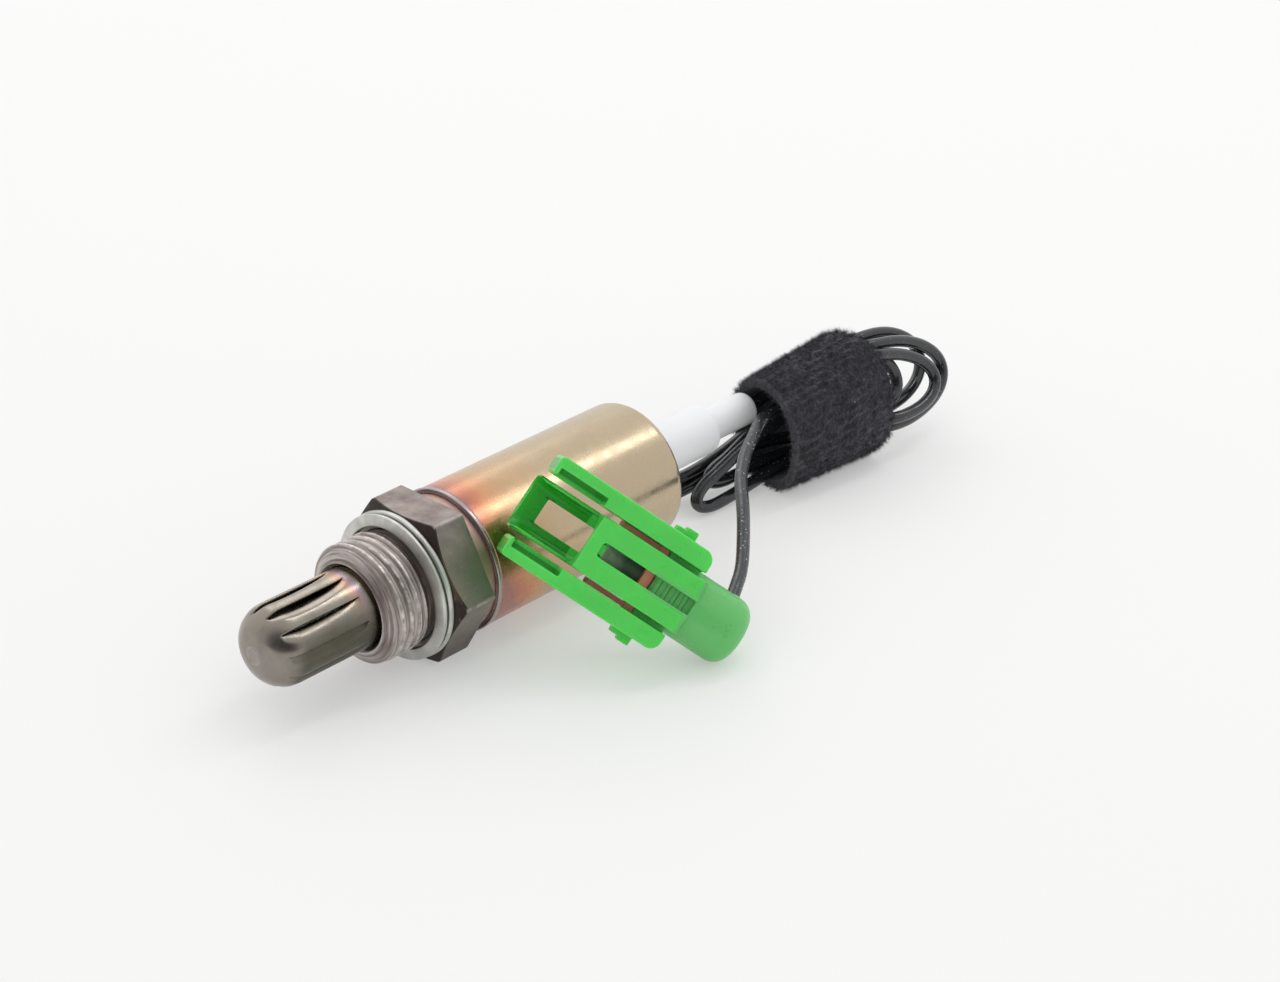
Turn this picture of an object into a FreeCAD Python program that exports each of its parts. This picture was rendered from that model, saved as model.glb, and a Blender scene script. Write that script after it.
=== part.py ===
"""Oxygen sensor with its bundled lead and one-way connector.

Millimetres, Z up. The X axis is the sensor's own axis, X points toward the lead,
and the origin is where the axis meets the sealing gasket's front face.
"""
import FreeCAD
import Part

import math
import os

# Housing and thread
THREAD_RADIUS = 9.0
THREAD_START = -6.2
NOSE_END = -7.44
GASKET_NECK_RADIUS = 8.5
HEX_ACROSS_FLATS = 22.0
HEX_SIDES = 6
HEX_FRONT = 2.2
HEX_LENGTH = 6.4
HEX_CHAMFER_ANGLE = 30.0
SLEEVE_NECK_END = 14.0
FRONT_BORE_RADIUS = 4.9
REAR_BORE_RADIUS = 7.6
SEAT_START = -0.6
SEAT_ANGLE = 45.0

# Sealing gasket
GASKET_BACK_OVERHANG = 0.15
GASKET_FRONT_OVERHANG = 0.05
GASKET_FRONT_BORE_RADIUS = 9.26
GASKET_LAYER = 0.95
GASKET_GROOVE_DEPTH = 1.5
GASKET_CLEARANCE = 0.12
GASKET_ROUND = 0.25

# Protection tube
TUBE_RADIUS = 6.07
TUBE_WALL = 0.5
TUBE_TIP = -24.8
TUBE_DOME_RADIUS = 4.6
TUBE_FLANGE_RADIUS = 6.9
TUBE_FLANGE_BACK = -3.1
TUBE_TIP_DIMPLE_RADIUS = 1.25
TUBE_TIP_DIMPLE_DEPTH = 0.12
LOUVRE_COUNT = 10
LOUVRE_FIRST_ANGLE = 46.0
LOUVRE_FRONT = -22.7
LOUVRE_BACK = -9.2
LOUVRE_DEPTH = 1.45
LOUVRE_GAP = 0.3
LOUVRE_FLAP = 0.4
NOSE_CLEARANCE = 0.11

# Protective sleeve
SLEEVE_RADIUS = 10.954
SLEEVE_WALL = 0.6
SLEEVE_FRONT = 10.8
SLEEVE_BACK = 50.1
SLEEVE_RIM_RADIUS = 11.1
SLEEVE_RIM_LENGTH = 0.55
SLEEVE_RIM_SLOPE = 0.3
SLEEVE_CORNER = 1.6
SLEEVE_FIT = 0.04

# Ceramic element and its stack
ELEMENT_TIP = -21.4
ELEMENT_TIP_RADIUS = 2.9
ELEMENT_ROOT_RADIUS = 3.6
ELEMENT_ROOT = -3.0
ELEMENT_COLLAR_RADIUS = 6.8
ELEMENT_COLLAR_LENGTH = 2.6
ELEMENT_HEAD_RADIUS = 5.2
ELEMENT_HEAD_END = 10.0
ELEMENT_BORE_RADIUS = 1.9
ELEMENT_TIP_WALL = 1.2
SEAL_RING_THICKNESS = 0.5
SEAL_RING_LENGTH = 1.9
CONTACT_FLANGE_RADIUS = 4.6
CONTACT_FLANGE_LENGTH = 0.6
CONTACT_BARREL_LENGTH = 8.0
CONTACT_ROD_RADIUS = 1.0
CONTACT_FIT = 0.05
SUPPORT_TUBE_CLEARANCE = 0.2
SUPPORT_TUBE_BORE = 1.15
DISC_SPRING_INSET = 0.2
DISC_SPRING_BORE = 2.4
DISC_SPRING_THICKNESS = 0.6
DISC_SPRING_RISE = 1.0
PLATE_RADIUS = 7.6
PLATE_THICKNESS = 0.6
STACK_CLEARANCE = 0.05

# Insulating boot and its lead
BOOT_HEIGHT = 0.8
BOOT_RADIUS = 4.0
BOOT_STEP = 66.3
BOOT_TAIL_RADIUS = 2.67
BOOT_END = 76.5
BOOT_FLANGE_RADIUS = 6.6
BOOT_FLANGE_LENGTH = 3.25
BOOT_STEP_ROUND = 0.8
BOOT_END_ROUND = 0.9
BOOT_HOLE_CLEARANCE = 0.1
FERRULE_RADIUS = 1.6
FERRULE_LENGTH = 9.5
FERRULE_ROD_DEPTH = 4.0
LEAD_RADIUS = 1.0
LEAD_CLEARANCE = 0.04

# Strap
STRAP_WALL = 1.3
STRAP_ROUNDNESS = 2.2
STRAP_MOUTH = 74.2
STRAP_MOUTH_SLOPE = 0.19
STRAP_MOUTH_CENTRE = (-4.35, -2.45)
STRAP_MOUTH_HALF_WIDTH = 8.25
STRAP_MOUTH_HALF_HEIGHT = 8.7
STRAP_END = 94.6
STRAP_END_CENTRE = (-6.6, -0.8)
STRAP_END_HALF_WIDTH = 9.0
STRAP_END_HALF_HEIGHT = 10.35
STRAP_CLEARANCE = 0.3
OVAL_POINTS = 24

# Hank of the lead: each section is (x, y, z, half width, half height)
LOBE_ROOT = 5.1
HANK_LEFT_LOBE = [
    (51.7, 5.0, -9.85, 1.2, 1.05),
    (56.0, 3.0, -9.3, 3.0, 1.6),
    (61.0, 0.0, -8.7, 4.9, 2.2),
    (67.0, -0.9, -7.3, 4.7, 3.3),
    (72.0, -2.2, -6.3, 4.4, 3.8),
    (BOOT_END, -3.8, -5.6, 4.2, 3.6),
]
HANK_RIGHT_LOBE = [
    (STRAP_END - LOBE_ROOT, -8.0, -0.2, 4.4, 6.9),
    (STRAP_END, -9.2, 0.3, 4.3, 7.0),
    (98.0, -10.4, 0.8, 4.7, 7.5),
    (104.0, -10.9, 0.4, 4.4, 7.2),
    (109.0, -11.0, -1.2, 3.7, 5.9),
    (112.5, -11.1, -2.9, 2.6, 3.9),
    (114.3, -11.1, -3.9, 1.3, 1.6),
]

# Lead from the connector to the bundle: points chosen along its route
LEAD_TAIL_POINTS = [
    (43.0, -28.5, -3.6),
    (47.5, -24.8, -1.9),
    (52.1, -20.7, 0.1),
    (56.9, -15.8, 1.0),
    (62.3, -12.0, 1.84),
    (68.4, -8.8, 2.3),
    (72.6, -6.4, 2.3),
    (76.5, -6.4, 2.3),
]
LEAD_EXIT_RUN = 3.0
ARC_SHARE = 0.45

# Connector: its own frame, front to rear, across, and out of its top
CONNECTOR_ORIGIN = (15.114, -11.20, 12.95)
CONNECTOR_YAW = -55.0
CONNECTOR_PITCH = 33.7
CONNECTOR_ROLL = 60.0
CONNECTOR_TOP = 5.5
CONNECTOR_UNDERSIDE = -1.7
SOCKET_RADIUS = 4.24
SOCKET_BORE = 3.7
SOCKET_MOUTH_FLARE = 0.35
SOCKET_MOUTH_LENGTH = 1.2
BRIDGE_START = 10.3
BRIDGE_BAR = 2.0
SLOT_HALF_WIDTH = 1.15
BULKHEAD = 21.6
PRONG_END = 27.5
WINDOW_HALF_WIDTH = 1.25
WINDOW_START = 4.0
RAIL_INNER = 5.15
RAIL_OUTER = 8.05
RAIL_START = 0.4
RAIL_END = 27.0
RAIL_REAR_ROUND = 1.7
RAIL_FRONT_ROUND = 0.7
RAIL_GROOVE_EDGE = 6.45
RAIL_GROOVE_END = 9.4
RAIL_GROOVE_WALL = 0.8
RAIL_GROOVE_FLOOR = 0.4
WEB_TOP = 3.0
WEB_LENGTH = 5.2
PEG_START = 20.3
PEG_LENGTH = 3.3
PEG_REACH = 1.3
PEG_HEIGHT = 2.2
PEG_LEVEL = 2.0
PEG_STEP = 0.5
HOOD_RADIUS = 5.06
HOOD_END = 37.25
HOOD_ROUND = 2.8
HOOD_WALL = 1.3
SLOT_FLOOR = 4.0
RIB_COUNT = 4
RIB_HEIGHT = 0.35
OUTLET_PLACE = 34.3
OUTLET_ANGLE = 45.0
OUTLET_REACH = 5.6
OUTLET_RADIUS = 1.9
EDGE_ROUND = 0.25

# Terminal, its lock clip and its wire grip
TERMINAL_RADIUS = 1.7
TERMINAL_START = 13.4
TERMINAL_WALL = 0.35
TERMINAL_LENGTH = 6.5
TERMINAL_NECK_RADIUS = 1.25
TERMINAL_NECK_LENGTH = 3.0
TERMINAL_NOTCH = 1.1
TERMINAL_FIT = 0.05
CLIP_START = 13.7
CLIP_END = 21.5
CLIP_BAR_START = 19.95
CLIP_FIT = 0.06
CLIP_LEG_TOP = 2.6
CLIP_LEG_BOTTOM = -1.4
CLIP_BAR_TOP = 2.7
GRIP_LENGTH = 6.0
GRIP_WALL = 0.35

FULL_TURN = 360.0
HALF = 0.5
REACH = 200.0
OVERCUT = 1.0
NEAR = 1.0
SAME_PLACE = 1e-6


def vec(x, y, z):
    return FreeCAD.Vector(x, y, z)


def outline(start, steps, plane_point):
    """Face inside a closed outline of straight steps and of arcs given by a middle and an end."""
    edges = []
    last = plane_point(start)
    for step in list(steps) + [start]:
        if isinstance(step[0], tuple):
            middle = plane_point(step[0])
            end = plane_point(step[1])
            edges.append(Part.Arc(last, middle, end).toShape())
        else:
            end = plane_point(step)
            if end.distanceToPoint(last) < SAME_PLACE:
                continue
            edges.append(Part.LineSegment(last, end).toShape())
        last = end
    return Part.Face(Part.Wire(edges))


def along_axis(pair):
    """A point of a turned outline: distance along X and radius."""
    return vec(pair[0], 0.0, pair[1])


def turned(start, *steps):
    """Solid turned about the X axis from an outline of (x, radius) points and arcs."""
    face = outline(start, steps, along_axis)
    return face.revolve(vec(0, 0, 0), vec(1, 0, 0), FULL_TURN)


def quarter_middle(centre, radius, direction_x, direction_r):
    """Middle point of a quarter arc that bulges toward the given diagonal."""
    reach = radius / math.sqrt(2.0)
    return (centre[0] + direction_x * reach, centre[1] + direction_r * reach)


def block(x_low, x_high, y_low, y_high, z_low, z_high):
    """Box between its lowest and highest corners."""
    size = (x_high - x_low, y_high - y_low, z_high - z_low)
    return Part.makeBox(size[0], size[1], size[2], vec(x_low, y_low, z_low))


def bar(x_low, x_high, radius):
    """Cylinder along X."""
    return Part.makeCylinder(radius, x_high - x_low, vec(x_low, 0, 0), vec(1, 0, 0))


def lifted(shape, height):
    moved = shape.copy()
    moved.translate(vec(0, 0, height))
    return moved


def merged(shapes):
    """One solid from pieces that belong together."""
    whole = shapes[0].fuse(shapes[1:])
    return whole.removeSplitter()


# Places that follow from the sizes above
HEX_BACK = HEX_FRONT + HEX_LENGTH
HEX_FLAT_RADIUS = HEX_ACROSS_FLATS * HALF
HEX_CORNER = HEX_FLAT_RADIUS / math.cos(math.pi / HEX_SIDES)
GASKET_OUTER_RADIUS = HEX_FLAT_RADIUS + GASKET_BACK_OVERHANG
GASKET_FRONT_OUTER_RADIUS = HEX_FLAT_RADIUS + GASKET_FRONT_OVERHANG
SEAT_SLOPE = math.tan(math.radians(SEAT_ANGLE))
SEAT_END = SEAT_START + (REAR_BORE_RADIUS - FRONT_BORE_RADIUS) / SEAT_SLOPE
SLEEVE_BORE = SLEEVE_RADIUS - SLEEVE_WALL
SLEEVE_NECK_RADIUS = SLEEVE_BORE - SLEEVE_FIT
TUBE_BORE = TUBE_RADIUS - TUBE_WALL
TUBE_FLANGE_FRONT = TUBE_FLANGE_BACK - TUBE_WALL
NOSE_BORE = TUBE_RADIUS + NOSE_CLEARANCE
SLEEVE_END_WALL = SLEEVE_BACK - SLEEVE_WALL
CONTACT_ROD_START = ELEMENT_HEAD_END + CONTACT_FLANGE_LENGTH
BOOT_FLANGE_BACK = SLEEVE_END_WALL - STACK_CLEARANCE
PLATE_END = BOOT_FLANGE_BACK - BOOT_FLANGE_LENGTH
DISC_SPRING_END = PLATE_END - PLATE_THICKNESS
DISC_SPRING_RADIUS = REAR_BORE_RADIUS - SUPPORT_TUBE_CLEARANCE - DISC_SPRING_INSET
SUPPORT_TUBE_START = CONTACT_ROD_START
SUPPORT_TUBE_END = DISC_SPRING_END - DISC_SPRING_THICKNESS - DISC_SPRING_RISE
SUPPORT_TUBE_RADIUS = REAR_BORE_RADIUS - SUPPORT_TUBE_CLEARANCE
FERRULE_START = PLATE_END
FERRULE_END = FERRULE_START + FERRULE_LENGTH
ROD_END = FERRULE_START + FERRULE_ROD_DEPTH
LEAD_START = ROD_END + STACK_CLEARANCE
SLOT_START = BRIDGE_START + BRIDGE_BAR
TERMINAL_BORE = TERMINAL_RADIUS + TERMINAL_FIT
TERMINAL_SHOULDER = TERMINAL_START + TERMINAL_LENGTH
TERMINAL_END = TERMINAL_SHOULDER + TERMINAL_NECK_LENGTH
GRIP_END = TERMINAL_END + GRIP_LENGTH
GRIP_RADIUS = LEAD_RADIUS + LEAD_CLEARANCE + GRIP_WALL


def steel_housing():
    """Threaded and hexagonal body with the seat for the element and the nose round the tube."""
    body = turned(
        (NOSE_END, NOSE_BORE),
        (THREAD_START, THREAD_RADIUS),
        (0.0, THREAD_RADIUS),
        (0.0, GASKET_NECK_RADIUS),
        (HEX_FRONT, GASKET_NECK_RADIUS),
        (HEX_FRONT, HEX_FLAT_RADIUS),
        (HEX_BACK, HEX_FLAT_RADIUS),
        (HEX_BACK, SLEEVE_NECK_RADIUS),
        (SLEEVE_NECK_END, SLEEVE_NECK_RADIUS),
        (SLEEVE_NECK_END, REAR_BORE_RADIUS),
        (SEAT_END, REAR_BORE_RADIUS),
        (SEAT_START, FRONT_BORE_RADIUS),
        (TUBE_FLANGE_BACK, FRONT_BORE_RADIUS),
        (TUBE_FLANGE_BACK, TUBE_FLANGE_RADIUS + NOSE_CLEARANCE),
        (TUBE_FLANGE_FRONT, TUBE_FLANGE_RADIUS + NOSE_CLEARANCE),
        (TUBE_FLANGE_FRONT, NOSE_BORE),
    )
    corners = []
    for number in range(HEX_SIDES):
        angle = math.radians(FULL_TURN * number / HEX_SIDES)
        corners.append(vec(HEX_FRONT, HEX_CORNER * math.cos(angle), HEX_CORNER * math.sin(angle)))
    hexagon = Part.Face(Part.makePolygon(corners + corners[:1]))
    nut = hexagon.extrude(vec(HEX_LENGTH, 0, 0))
    chamfer = (HEX_CORNER - HEX_FLAT_RADIUS) * math.tan(math.radians(HEX_CHAMFER_ANGLE))
    limit = turned(
        (HEX_FRONT, REAR_BORE_RADIUS),
        (HEX_FRONT, HEX_FLAT_RADIUS),
        (HEX_FRONT + chamfer, HEX_CORNER),
        (HEX_BACK, HEX_CORNER),
        (HEX_BACK, REAR_BORE_RADIUS),
    )
    return merged([body, nut.common(limit)])


def sealing_gasket():
    """Folded metal ring: two layers joined by a bend at the bore, its back layer held by the thread."""
    gap_start = GASKET_LAYER
    gap_end = HEX_FRONT - GASKET_LAYER
    bend = GASKET_OUTER_RADIUS - GASKET_GROOVE_DEPTH
    bore = GASKET_NECK_RADIUS + GASKET_CLEARANCE
    front = GASKET_FRONT_OUTER_RADIUS
    back = GASKET_OUTER_RADIUS
    edge = GASKET_ROUND
    diagonal = edge * (1.0 - 1.0 / math.sqrt(2.0))
    return turned(
        (0.0, GASKET_FRONT_BORE_RADIUS),
        (0.0, front - edge),
        ((diagonal, front - diagonal), (edge, front)),
        (gap_start, front),
        (gap_start, bend),
        (gap_end, bend),
        (gap_end, back),
        (HEX_FRONT - edge, back),
        ((HEX_FRONT - diagonal, back - diagonal), (HEX_FRONT, back - edge)),
        (HEX_FRONT, bore),
        (gap_end, bore),
        (gap_start, GASKET_FRONT_BORE_RADIUS),
    )


def spindle(half_length, radius):
    """Pointed spindle along X: an arc from point to point turned about its chord."""
    arc = Part.Arc(vec(-half_length, 0, 0), vec(0, 0, radius), vec(half_length, 0, 0)).toShape()
    chord = Part.LineSegment(vec(half_length, 0, 0), vec(-half_length, 0, 0)).toShape()
    return Part.Face(Part.Wire([arc, chord])).revolve(vec(0, 0, 0), vec(1, 0, 0), FULL_TURN)


def protection_tube():
    """Domed tube with a base flange and a ring of louvres, each a flap pressed inward."""
    dome_x = TUBE_TIP + TUBE_DOME_RADIUS
    dome_r = TUBE_RADIUS - TUBE_DOME_RADIUS
    outer_middle = quarter_middle((dome_x, dome_r), TUBE_DOME_RADIUS, -1.0, 1.0)
    inner_middle = quarter_middle((dome_x, dome_r), TUBE_DOME_RADIUS - TUBE_WALL, -1.0, 1.0)
    tube = turned(
        (TUBE_TIP + TUBE_TIP_DIMPLE_DEPTH, 0.0),
        (TUBE_TIP + TUBE_TIP_DIMPLE_DEPTH, TUBE_TIP_DIMPLE_RADIUS),
        (TUBE_TIP, TUBE_TIP_DIMPLE_RADIUS),
        (TUBE_TIP, dome_r),
        (outer_middle, (dome_x, TUBE_RADIUS)),
        (TUBE_FLANGE_FRONT, TUBE_RADIUS),
        (TUBE_FLANGE_FRONT, TUBE_FLANGE_RADIUS),
        (TUBE_FLANGE_BACK, TUBE_FLANGE_RADIUS),
        (TUBE_FLANGE_BACK, TUBE_BORE),
        (dome_x, TUBE_BORE),
        (inner_middle, (TUBE_TIP + TUBE_WALL, dome_r)),
        (TUBE_TIP + TUBE_WALL, 0.0),
    )
    middle = (LOUVRE_FRONT + LOUVRE_BACK) * HALF
    half_length = (LOUVRE_BACK - LOUVRE_FRONT) * HALF
    place = vec(middle, 0, TUBE_RADIUS)
    side = block(-REACH, REACH, 0.0, REACH, -REACH, REACH)
    flap_side = block(-REACH, REACH, LOUVRE_GAP, REACH, -REACH, REACH)
    pocket = spindle(half_length, LOUVRE_DEPTH)
    pressed = spindle(half_length + LOUVRE_FLAP, LOUVRE_DEPTH + LOUVRE_FLAP)
    for shape in (pocket, pressed):
        shape.translate(place)
    shell = turned(
        (TUBE_TIP, 0.0),
        (TUBE_TIP, dome_r),
        (outer_middle, (dome_x, TUBE_RADIUS)),
        (TUBE_FLANGE_FRONT, TUBE_RADIUS),
        (TUBE_FLANGE_FRONT, 0.0),
    )
    opening = pocket.common(side)
    flap = pressed.common(flap_side).common(shell).cut(pocket)
    openings = []
    flaps = []
    for number in range(LOUVRE_COUNT):
        # Angles count from the side toward the viewer, -Y, up toward +Z
        angle = LOUVRE_FIRST_ANGLE + FULL_TURN * number / LOUVRE_COUNT
        turn = 90.0 - angle
        for source, group in ((opening, openings), (flap, flaps)):
            copy = source.copy()
            copy.rotate(vec(0, 0, 0), vec(1, 0, 0), turn)
            group.append(copy)
    return tube.cut(openings).fuse(flaps)


def protective_sleeve():
    """Drawn sleeve over the ceramic stack: turned-out rim in front, rounded end wall behind."""
    corner_x = SLEEVE_BACK - SLEEVE_CORNER
    corner_r = SLEEVE_RADIUS - SLEEVE_CORNER
    outer_middle = quarter_middle((corner_x, corner_r), SLEEVE_CORNER, 1.0, 1.0)
    inner_middle = quarter_middle((corner_x, corner_r), SLEEVE_CORNER - SLEEVE_WALL, 1.0, 1.0)
    hole = BOOT_RADIUS + BOOT_HOLE_CLEARANCE
    rim_end = SLEEVE_FRONT + SLEEVE_RIM_LENGTH
    sleeve = turned(
        (SLEEVE_FRONT, SLEEVE_BORE),
        (SLEEVE_FRONT, SLEEVE_RIM_RADIUS),
        (rim_end, SLEEVE_RIM_RADIUS),
        (rim_end + SLEEVE_RIM_SLOPE, SLEEVE_RADIUS),
        (corner_x, SLEEVE_RADIUS),
        (outer_middle, (SLEEVE_BACK, corner_r)),
        (SLEEVE_BACK, 0.0),
        (SLEEVE_END_WALL, 0.0),
        (SLEEVE_END_WALL, corner_r),
        (inner_middle, (corner_x, SLEEVE_BORE)),
    )
    return sleeve.cut(lifted(bar(SLEEVE_END_WALL - OVERCUT, SLEEVE_BACK + OVERCUT, hole), BOOT_HEIGHT))


def seat_line(x, distance):
    """Radius at x of a line parallel to the housing's seat, this far inside it."""
    shift = distance / math.sin(math.radians(SEAT_ANGLE))
    return FRONT_BORE_RADIUS + (x - SEAT_START) * SEAT_SLOPE - shift


def seat_place(radius, distance):
    """The x where that parallel line has this radius."""
    return radius - seat_line(0.0, distance)


def ceramic_element():
    """Zirconia thimble: closed domed tip, collar with a conical shoulder, open head."""
    tip_x = ELEMENT_TIP + ELEMENT_TIP_RADIUS
    tip_middle = quarter_middle((tip_x, 0.0), ELEMENT_TIP_RADIUS, -1.0, 1.0)
    shoulder_start = seat_place(ELEMENT_ROOT_RADIUS, SEAL_RING_THICKNESS)
    shoulder_end = seat_place(ELEMENT_COLLAR_RADIUS, SEAL_RING_THICKNESS)
    collar_end = shoulder_end + ELEMENT_COLLAR_LENGTH
    hollow_end = ELEMENT_TIP + ELEMENT_TIP_WALL
    hollow_x = hollow_end + ELEMENT_BORE_RADIUS
    hollow_middle = quarter_middle((hollow_x, 0.0), ELEMENT_BORE_RADIUS, -1.0, 1.0)
    return turned(
        (ELEMENT_TIP, 0.0),
        (tip_middle, (tip_x, ELEMENT_TIP_RADIUS)),
        (ELEMENT_ROOT, ELEMENT_ROOT_RADIUS),
        (shoulder_start, ELEMENT_ROOT_RADIUS),
        (shoulder_end, ELEMENT_COLLAR_RADIUS),
        (collar_end, ELEMENT_COLLAR_RADIUS),
        (collar_end, ELEMENT_HEAD_RADIUS),
        (ELEMENT_HEAD_END, ELEMENT_HEAD_RADIUS),
        (ELEMENT_HEAD_END, ELEMENT_BORE_RADIUS),
        (hollow_x, ELEMENT_BORE_RADIUS),
        (hollow_middle, (hollow_end, 0.0)),
    )


def element_seal_ring():
    """Conical metal ring between the element's shoulder and the housing's seat."""
    start = SEAT_START
    end = SEAT_START + SEAL_RING_LENGTH
    return turned(
        (start, seat_line(start, 0.0)),
        (end, seat_line(end, 0.0)),
        (end, seat_line(end, SEAL_RING_THICKNESS)),
        (start, seat_line(start, SEAL_RING_THICKNESS)),
    )


def contact_element():
    """Contact pressed into the element's mouth: barrel, flange and the rod behind it."""
    barrel = ELEMENT_BORE_RADIUS - CONTACT_FIT
    return turned(
        (ELEMENT_HEAD_END - CONTACT_BARREL_LENGTH, 0.0),
        (ELEMENT_HEAD_END - CONTACT_BARREL_LENGTH, barrel),
        (ELEMENT_HEAD_END, barrel),
        (ELEMENT_HEAD_END, CONTACT_FLANGE_RADIUS),
        (CONTACT_ROD_START, CONTACT_FLANGE_RADIUS),
        (CONTACT_ROD_START, CONTACT_ROD_RADIUS),
        (ROD_END, CONTACT_ROD_RADIUS),
        (ROD_END, 0.0),
    )


def ceramic_support_tube():
    """Thick ceramic tube that carries the spring force to the contact's flange."""
    return turned(
        (SUPPORT_TUBE_START, SUPPORT_TUBE_BORE),
        (SUPPORT_TUBE_START, SUPPORT_TUBE_RADIUS),
        (SUPPORT_TUBE_END, SUPPORT_TUBE_RADIUS),
        (SUPPORT_TUBE_END, SUPPORT_TUBE_BORE),
    )


def disc_spring():
    """Conical disc spring: its bore rests on the ceramic tube and its rim on the plate."""
    return turned(
        (SUPPORT_TUBE_END, DISC_SPRING_BORE),
        (SUPPORT_TUBE_END + DISC_SPRING_THICKNESS, DISC_SPRING_BORE),
        (DISC_SPRING_END, DISC_SPRING_RADIUS),
        (DISC_SPRING_END - DISC_SPRING_THICKNESS, DISC_SPRING_RADIUS),
    )


def spring_plate():
    """Flat plate between the disc spring and the boot's flange."""
    return turned(
        (DISC_SPRING_END, DISC_SPRING_BORE),
        (DISC_SPRING_END, PLATE_RADIUS),
        (PLATE_END, PLATE_RADIUS),
        (PLATE_END, DISC_SPRING_BORE),
    )


def crimp_ferrule():
    """Tube squeezed round the contact's rod and the lead."""
    bore = CONTACT_ROD_RADIUS + LEAD_CLEARANCE
    return turned(
        (FERRULE_START, bore),
        (FERRULE_START, FERRULE_RADIUS),
        (FERRULE_END, FERRULE_RADIUS),
        (FERRULE_END, bore),
    )


def lead_path_in_boot():
    """Line of the lead from the ferrule to the boot's end, with a gentle double bend."""
    points = [
        vec(LEAD_START, 0, 0),
        vec(FERRULE_END + LEAD_RADIUS, 0, 0),
        vec(BOOT_STEP - LEAD_RADIUS, 0, BOOT_HEIGHT),
        vec(BOOT_END, 0, BOOT_HEIGHT),
    ]
    return rounded_path(points)


def rounded_path(points):
    """Straight runs joined by tangent arcs, each as large as its two runs allow."""
    edges = []
    last = points[0]
    for before, corner, after in zip(points, points[1:], points[2:]):
        run_in = corner - before
        run_out = after - corner
        turn = run_in.getAngle(run_out)
        shorter = min(run_in.Length, run_out.Length)
        setback = ARC_SHARE * shorter
        radius = setback / math.tan(turn * HALF)
        start = corner - run_in.normalize() * setback
        end = corner + run_out.normalize() * setback
        toward_centre = (run_out - run_in).normalize()
        centre = corner + toward_centre * (radius / math.cos(turn * HALF))
        middle = centre - toward_centre * radius
        edges.append(Part.LineSegment(last, start).toShape())
        edges.append(Part.Arc(start, middle, end).toShape())
        last = end
    edges.append(Part.LineSegment(last, points[-1]).toShape())
    return Part.Wire(edges)


def bend_radii(path):
    """Radii of the arcs of such a path, for the printout."""
    arcs = [edge.Curve for edge in path.Edges if isinstance(edge.Curve, Part.Circle)]
    return [round(arc.Radius, 1) for arc in arcs]


def lead_along(path, radius):
    """Round lead swept along a path of runs and arcs."""
    start = path.Edges[0].firstVertex().Point
    direction = path.Edges[0].tangentAt(path.Edges[0].FirstParameter)
    section = Part.Wire(Part.makeCircle(radius, start, direction))
    return path.makePipeShell([section], True, False)


def insulating_boot():
    """Stepped boot with a flange inside the sleeve, bored for the ferrule and the lead."""
    step_r = BOOT_STEP_ROUND
    end_r = BOOT_END_ROUND
    step_middle = quarter_middle((BOOT_STEP - step_r, BOOT_RADIUS - step_r), step_r, 1.0, 1.0)
    end_middle = quarter_middle((BOOT_END - end_r, BOOT_TAIL_RADIUS - end_r), end_r, 1.0, 1.0)
    outside = turned(
        (PLATE_END, 0.0),
        (PLATE_END, BOOT_FLANGE_RADIUS),
        (BOOT_FLANGE_BACK, BOOT_FLANGE_RADIUS),
        (BOOT_FLANGE_BACK, BOOT_RADIUS),
        (BOOT_STEP - step_r, BOOT_RADIUS),
        (step_middle, (BOOT_STEP, BOOT_RADIUS - step_r)),
        (BOOT_STEP, BOOT_TAIL_RADIUS),
        (BOOT_END - end_r, BOOT_TAIL_RADIUS),
        (end_middle, (BOOT_END, BOOT_TAIL_RADIUS - end_r)),
        (BOOT_END, 0.0),
    )
    ferrule_bore = bar(PLATE_END, FERRULE_END + LEAD_CLEARANCE, FERRULE_RADIUS + LEAD_CLEARANCE)
    lead_bore = lead_along(lead_path_in_boot(), LEAD_RADIUS + LEAD_CLEARANCE)
    return lifted(outside, BOOT_HEIGHT).cut([ferrule_bore, lead_bore])


def oval(x, centre, half_width, half_height):
    """Closed smooth oval across X, a little squarer than an ellipse."""
    power = 2.0 / STRAP_ROUNDNESS
    points = []
    for number in range(OVAL_POINTS):
        angle = math.radians(FULL_TURN * number / OVAL_POINTS)
        across = math.copysign(abs(math.cos(angle)) ** power, math.cos(angle))
        upward = math.copysign(abs(math.sin(angle)) ** power, math.sin(angle))
        y = centre[0] + half_width * across
        z = centre[1] + half_height * upward
        points.append(vec(x, y, z))
    curve = Part.BSplineCurve()
    curve.interpolate(points, PeriodicFlag=True)
    return Part.Wire(curve.toShape())


def strap_section(x, inset):
    """The strap's oval at x, drawn in by an inset from its outer face."""
    share = (x - STRAP_MOUTH) / (STRAP_END - STRAP_MOUTH)
    pairs = zip(STRAP_MOUTH_CENTRE, STRAP_END_CENTRE)
    centre = tuple(low + share * (high - low) for low, high in pairs)
    width = STRAP_MOUTH_HALF_WIDTH + share * (STRAP_END_HALF_WIDTH - STRAP_MOUTH_HALF_WIDTH)
    height = STRAP_MOUTH_HALF_HEIGHT + share * (STRAP_END_HALF_HEIGHT - STRAP_MOUTH_HALF_HEIGHT)
    return oval(x, centre, width - inset, height - inset)


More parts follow.
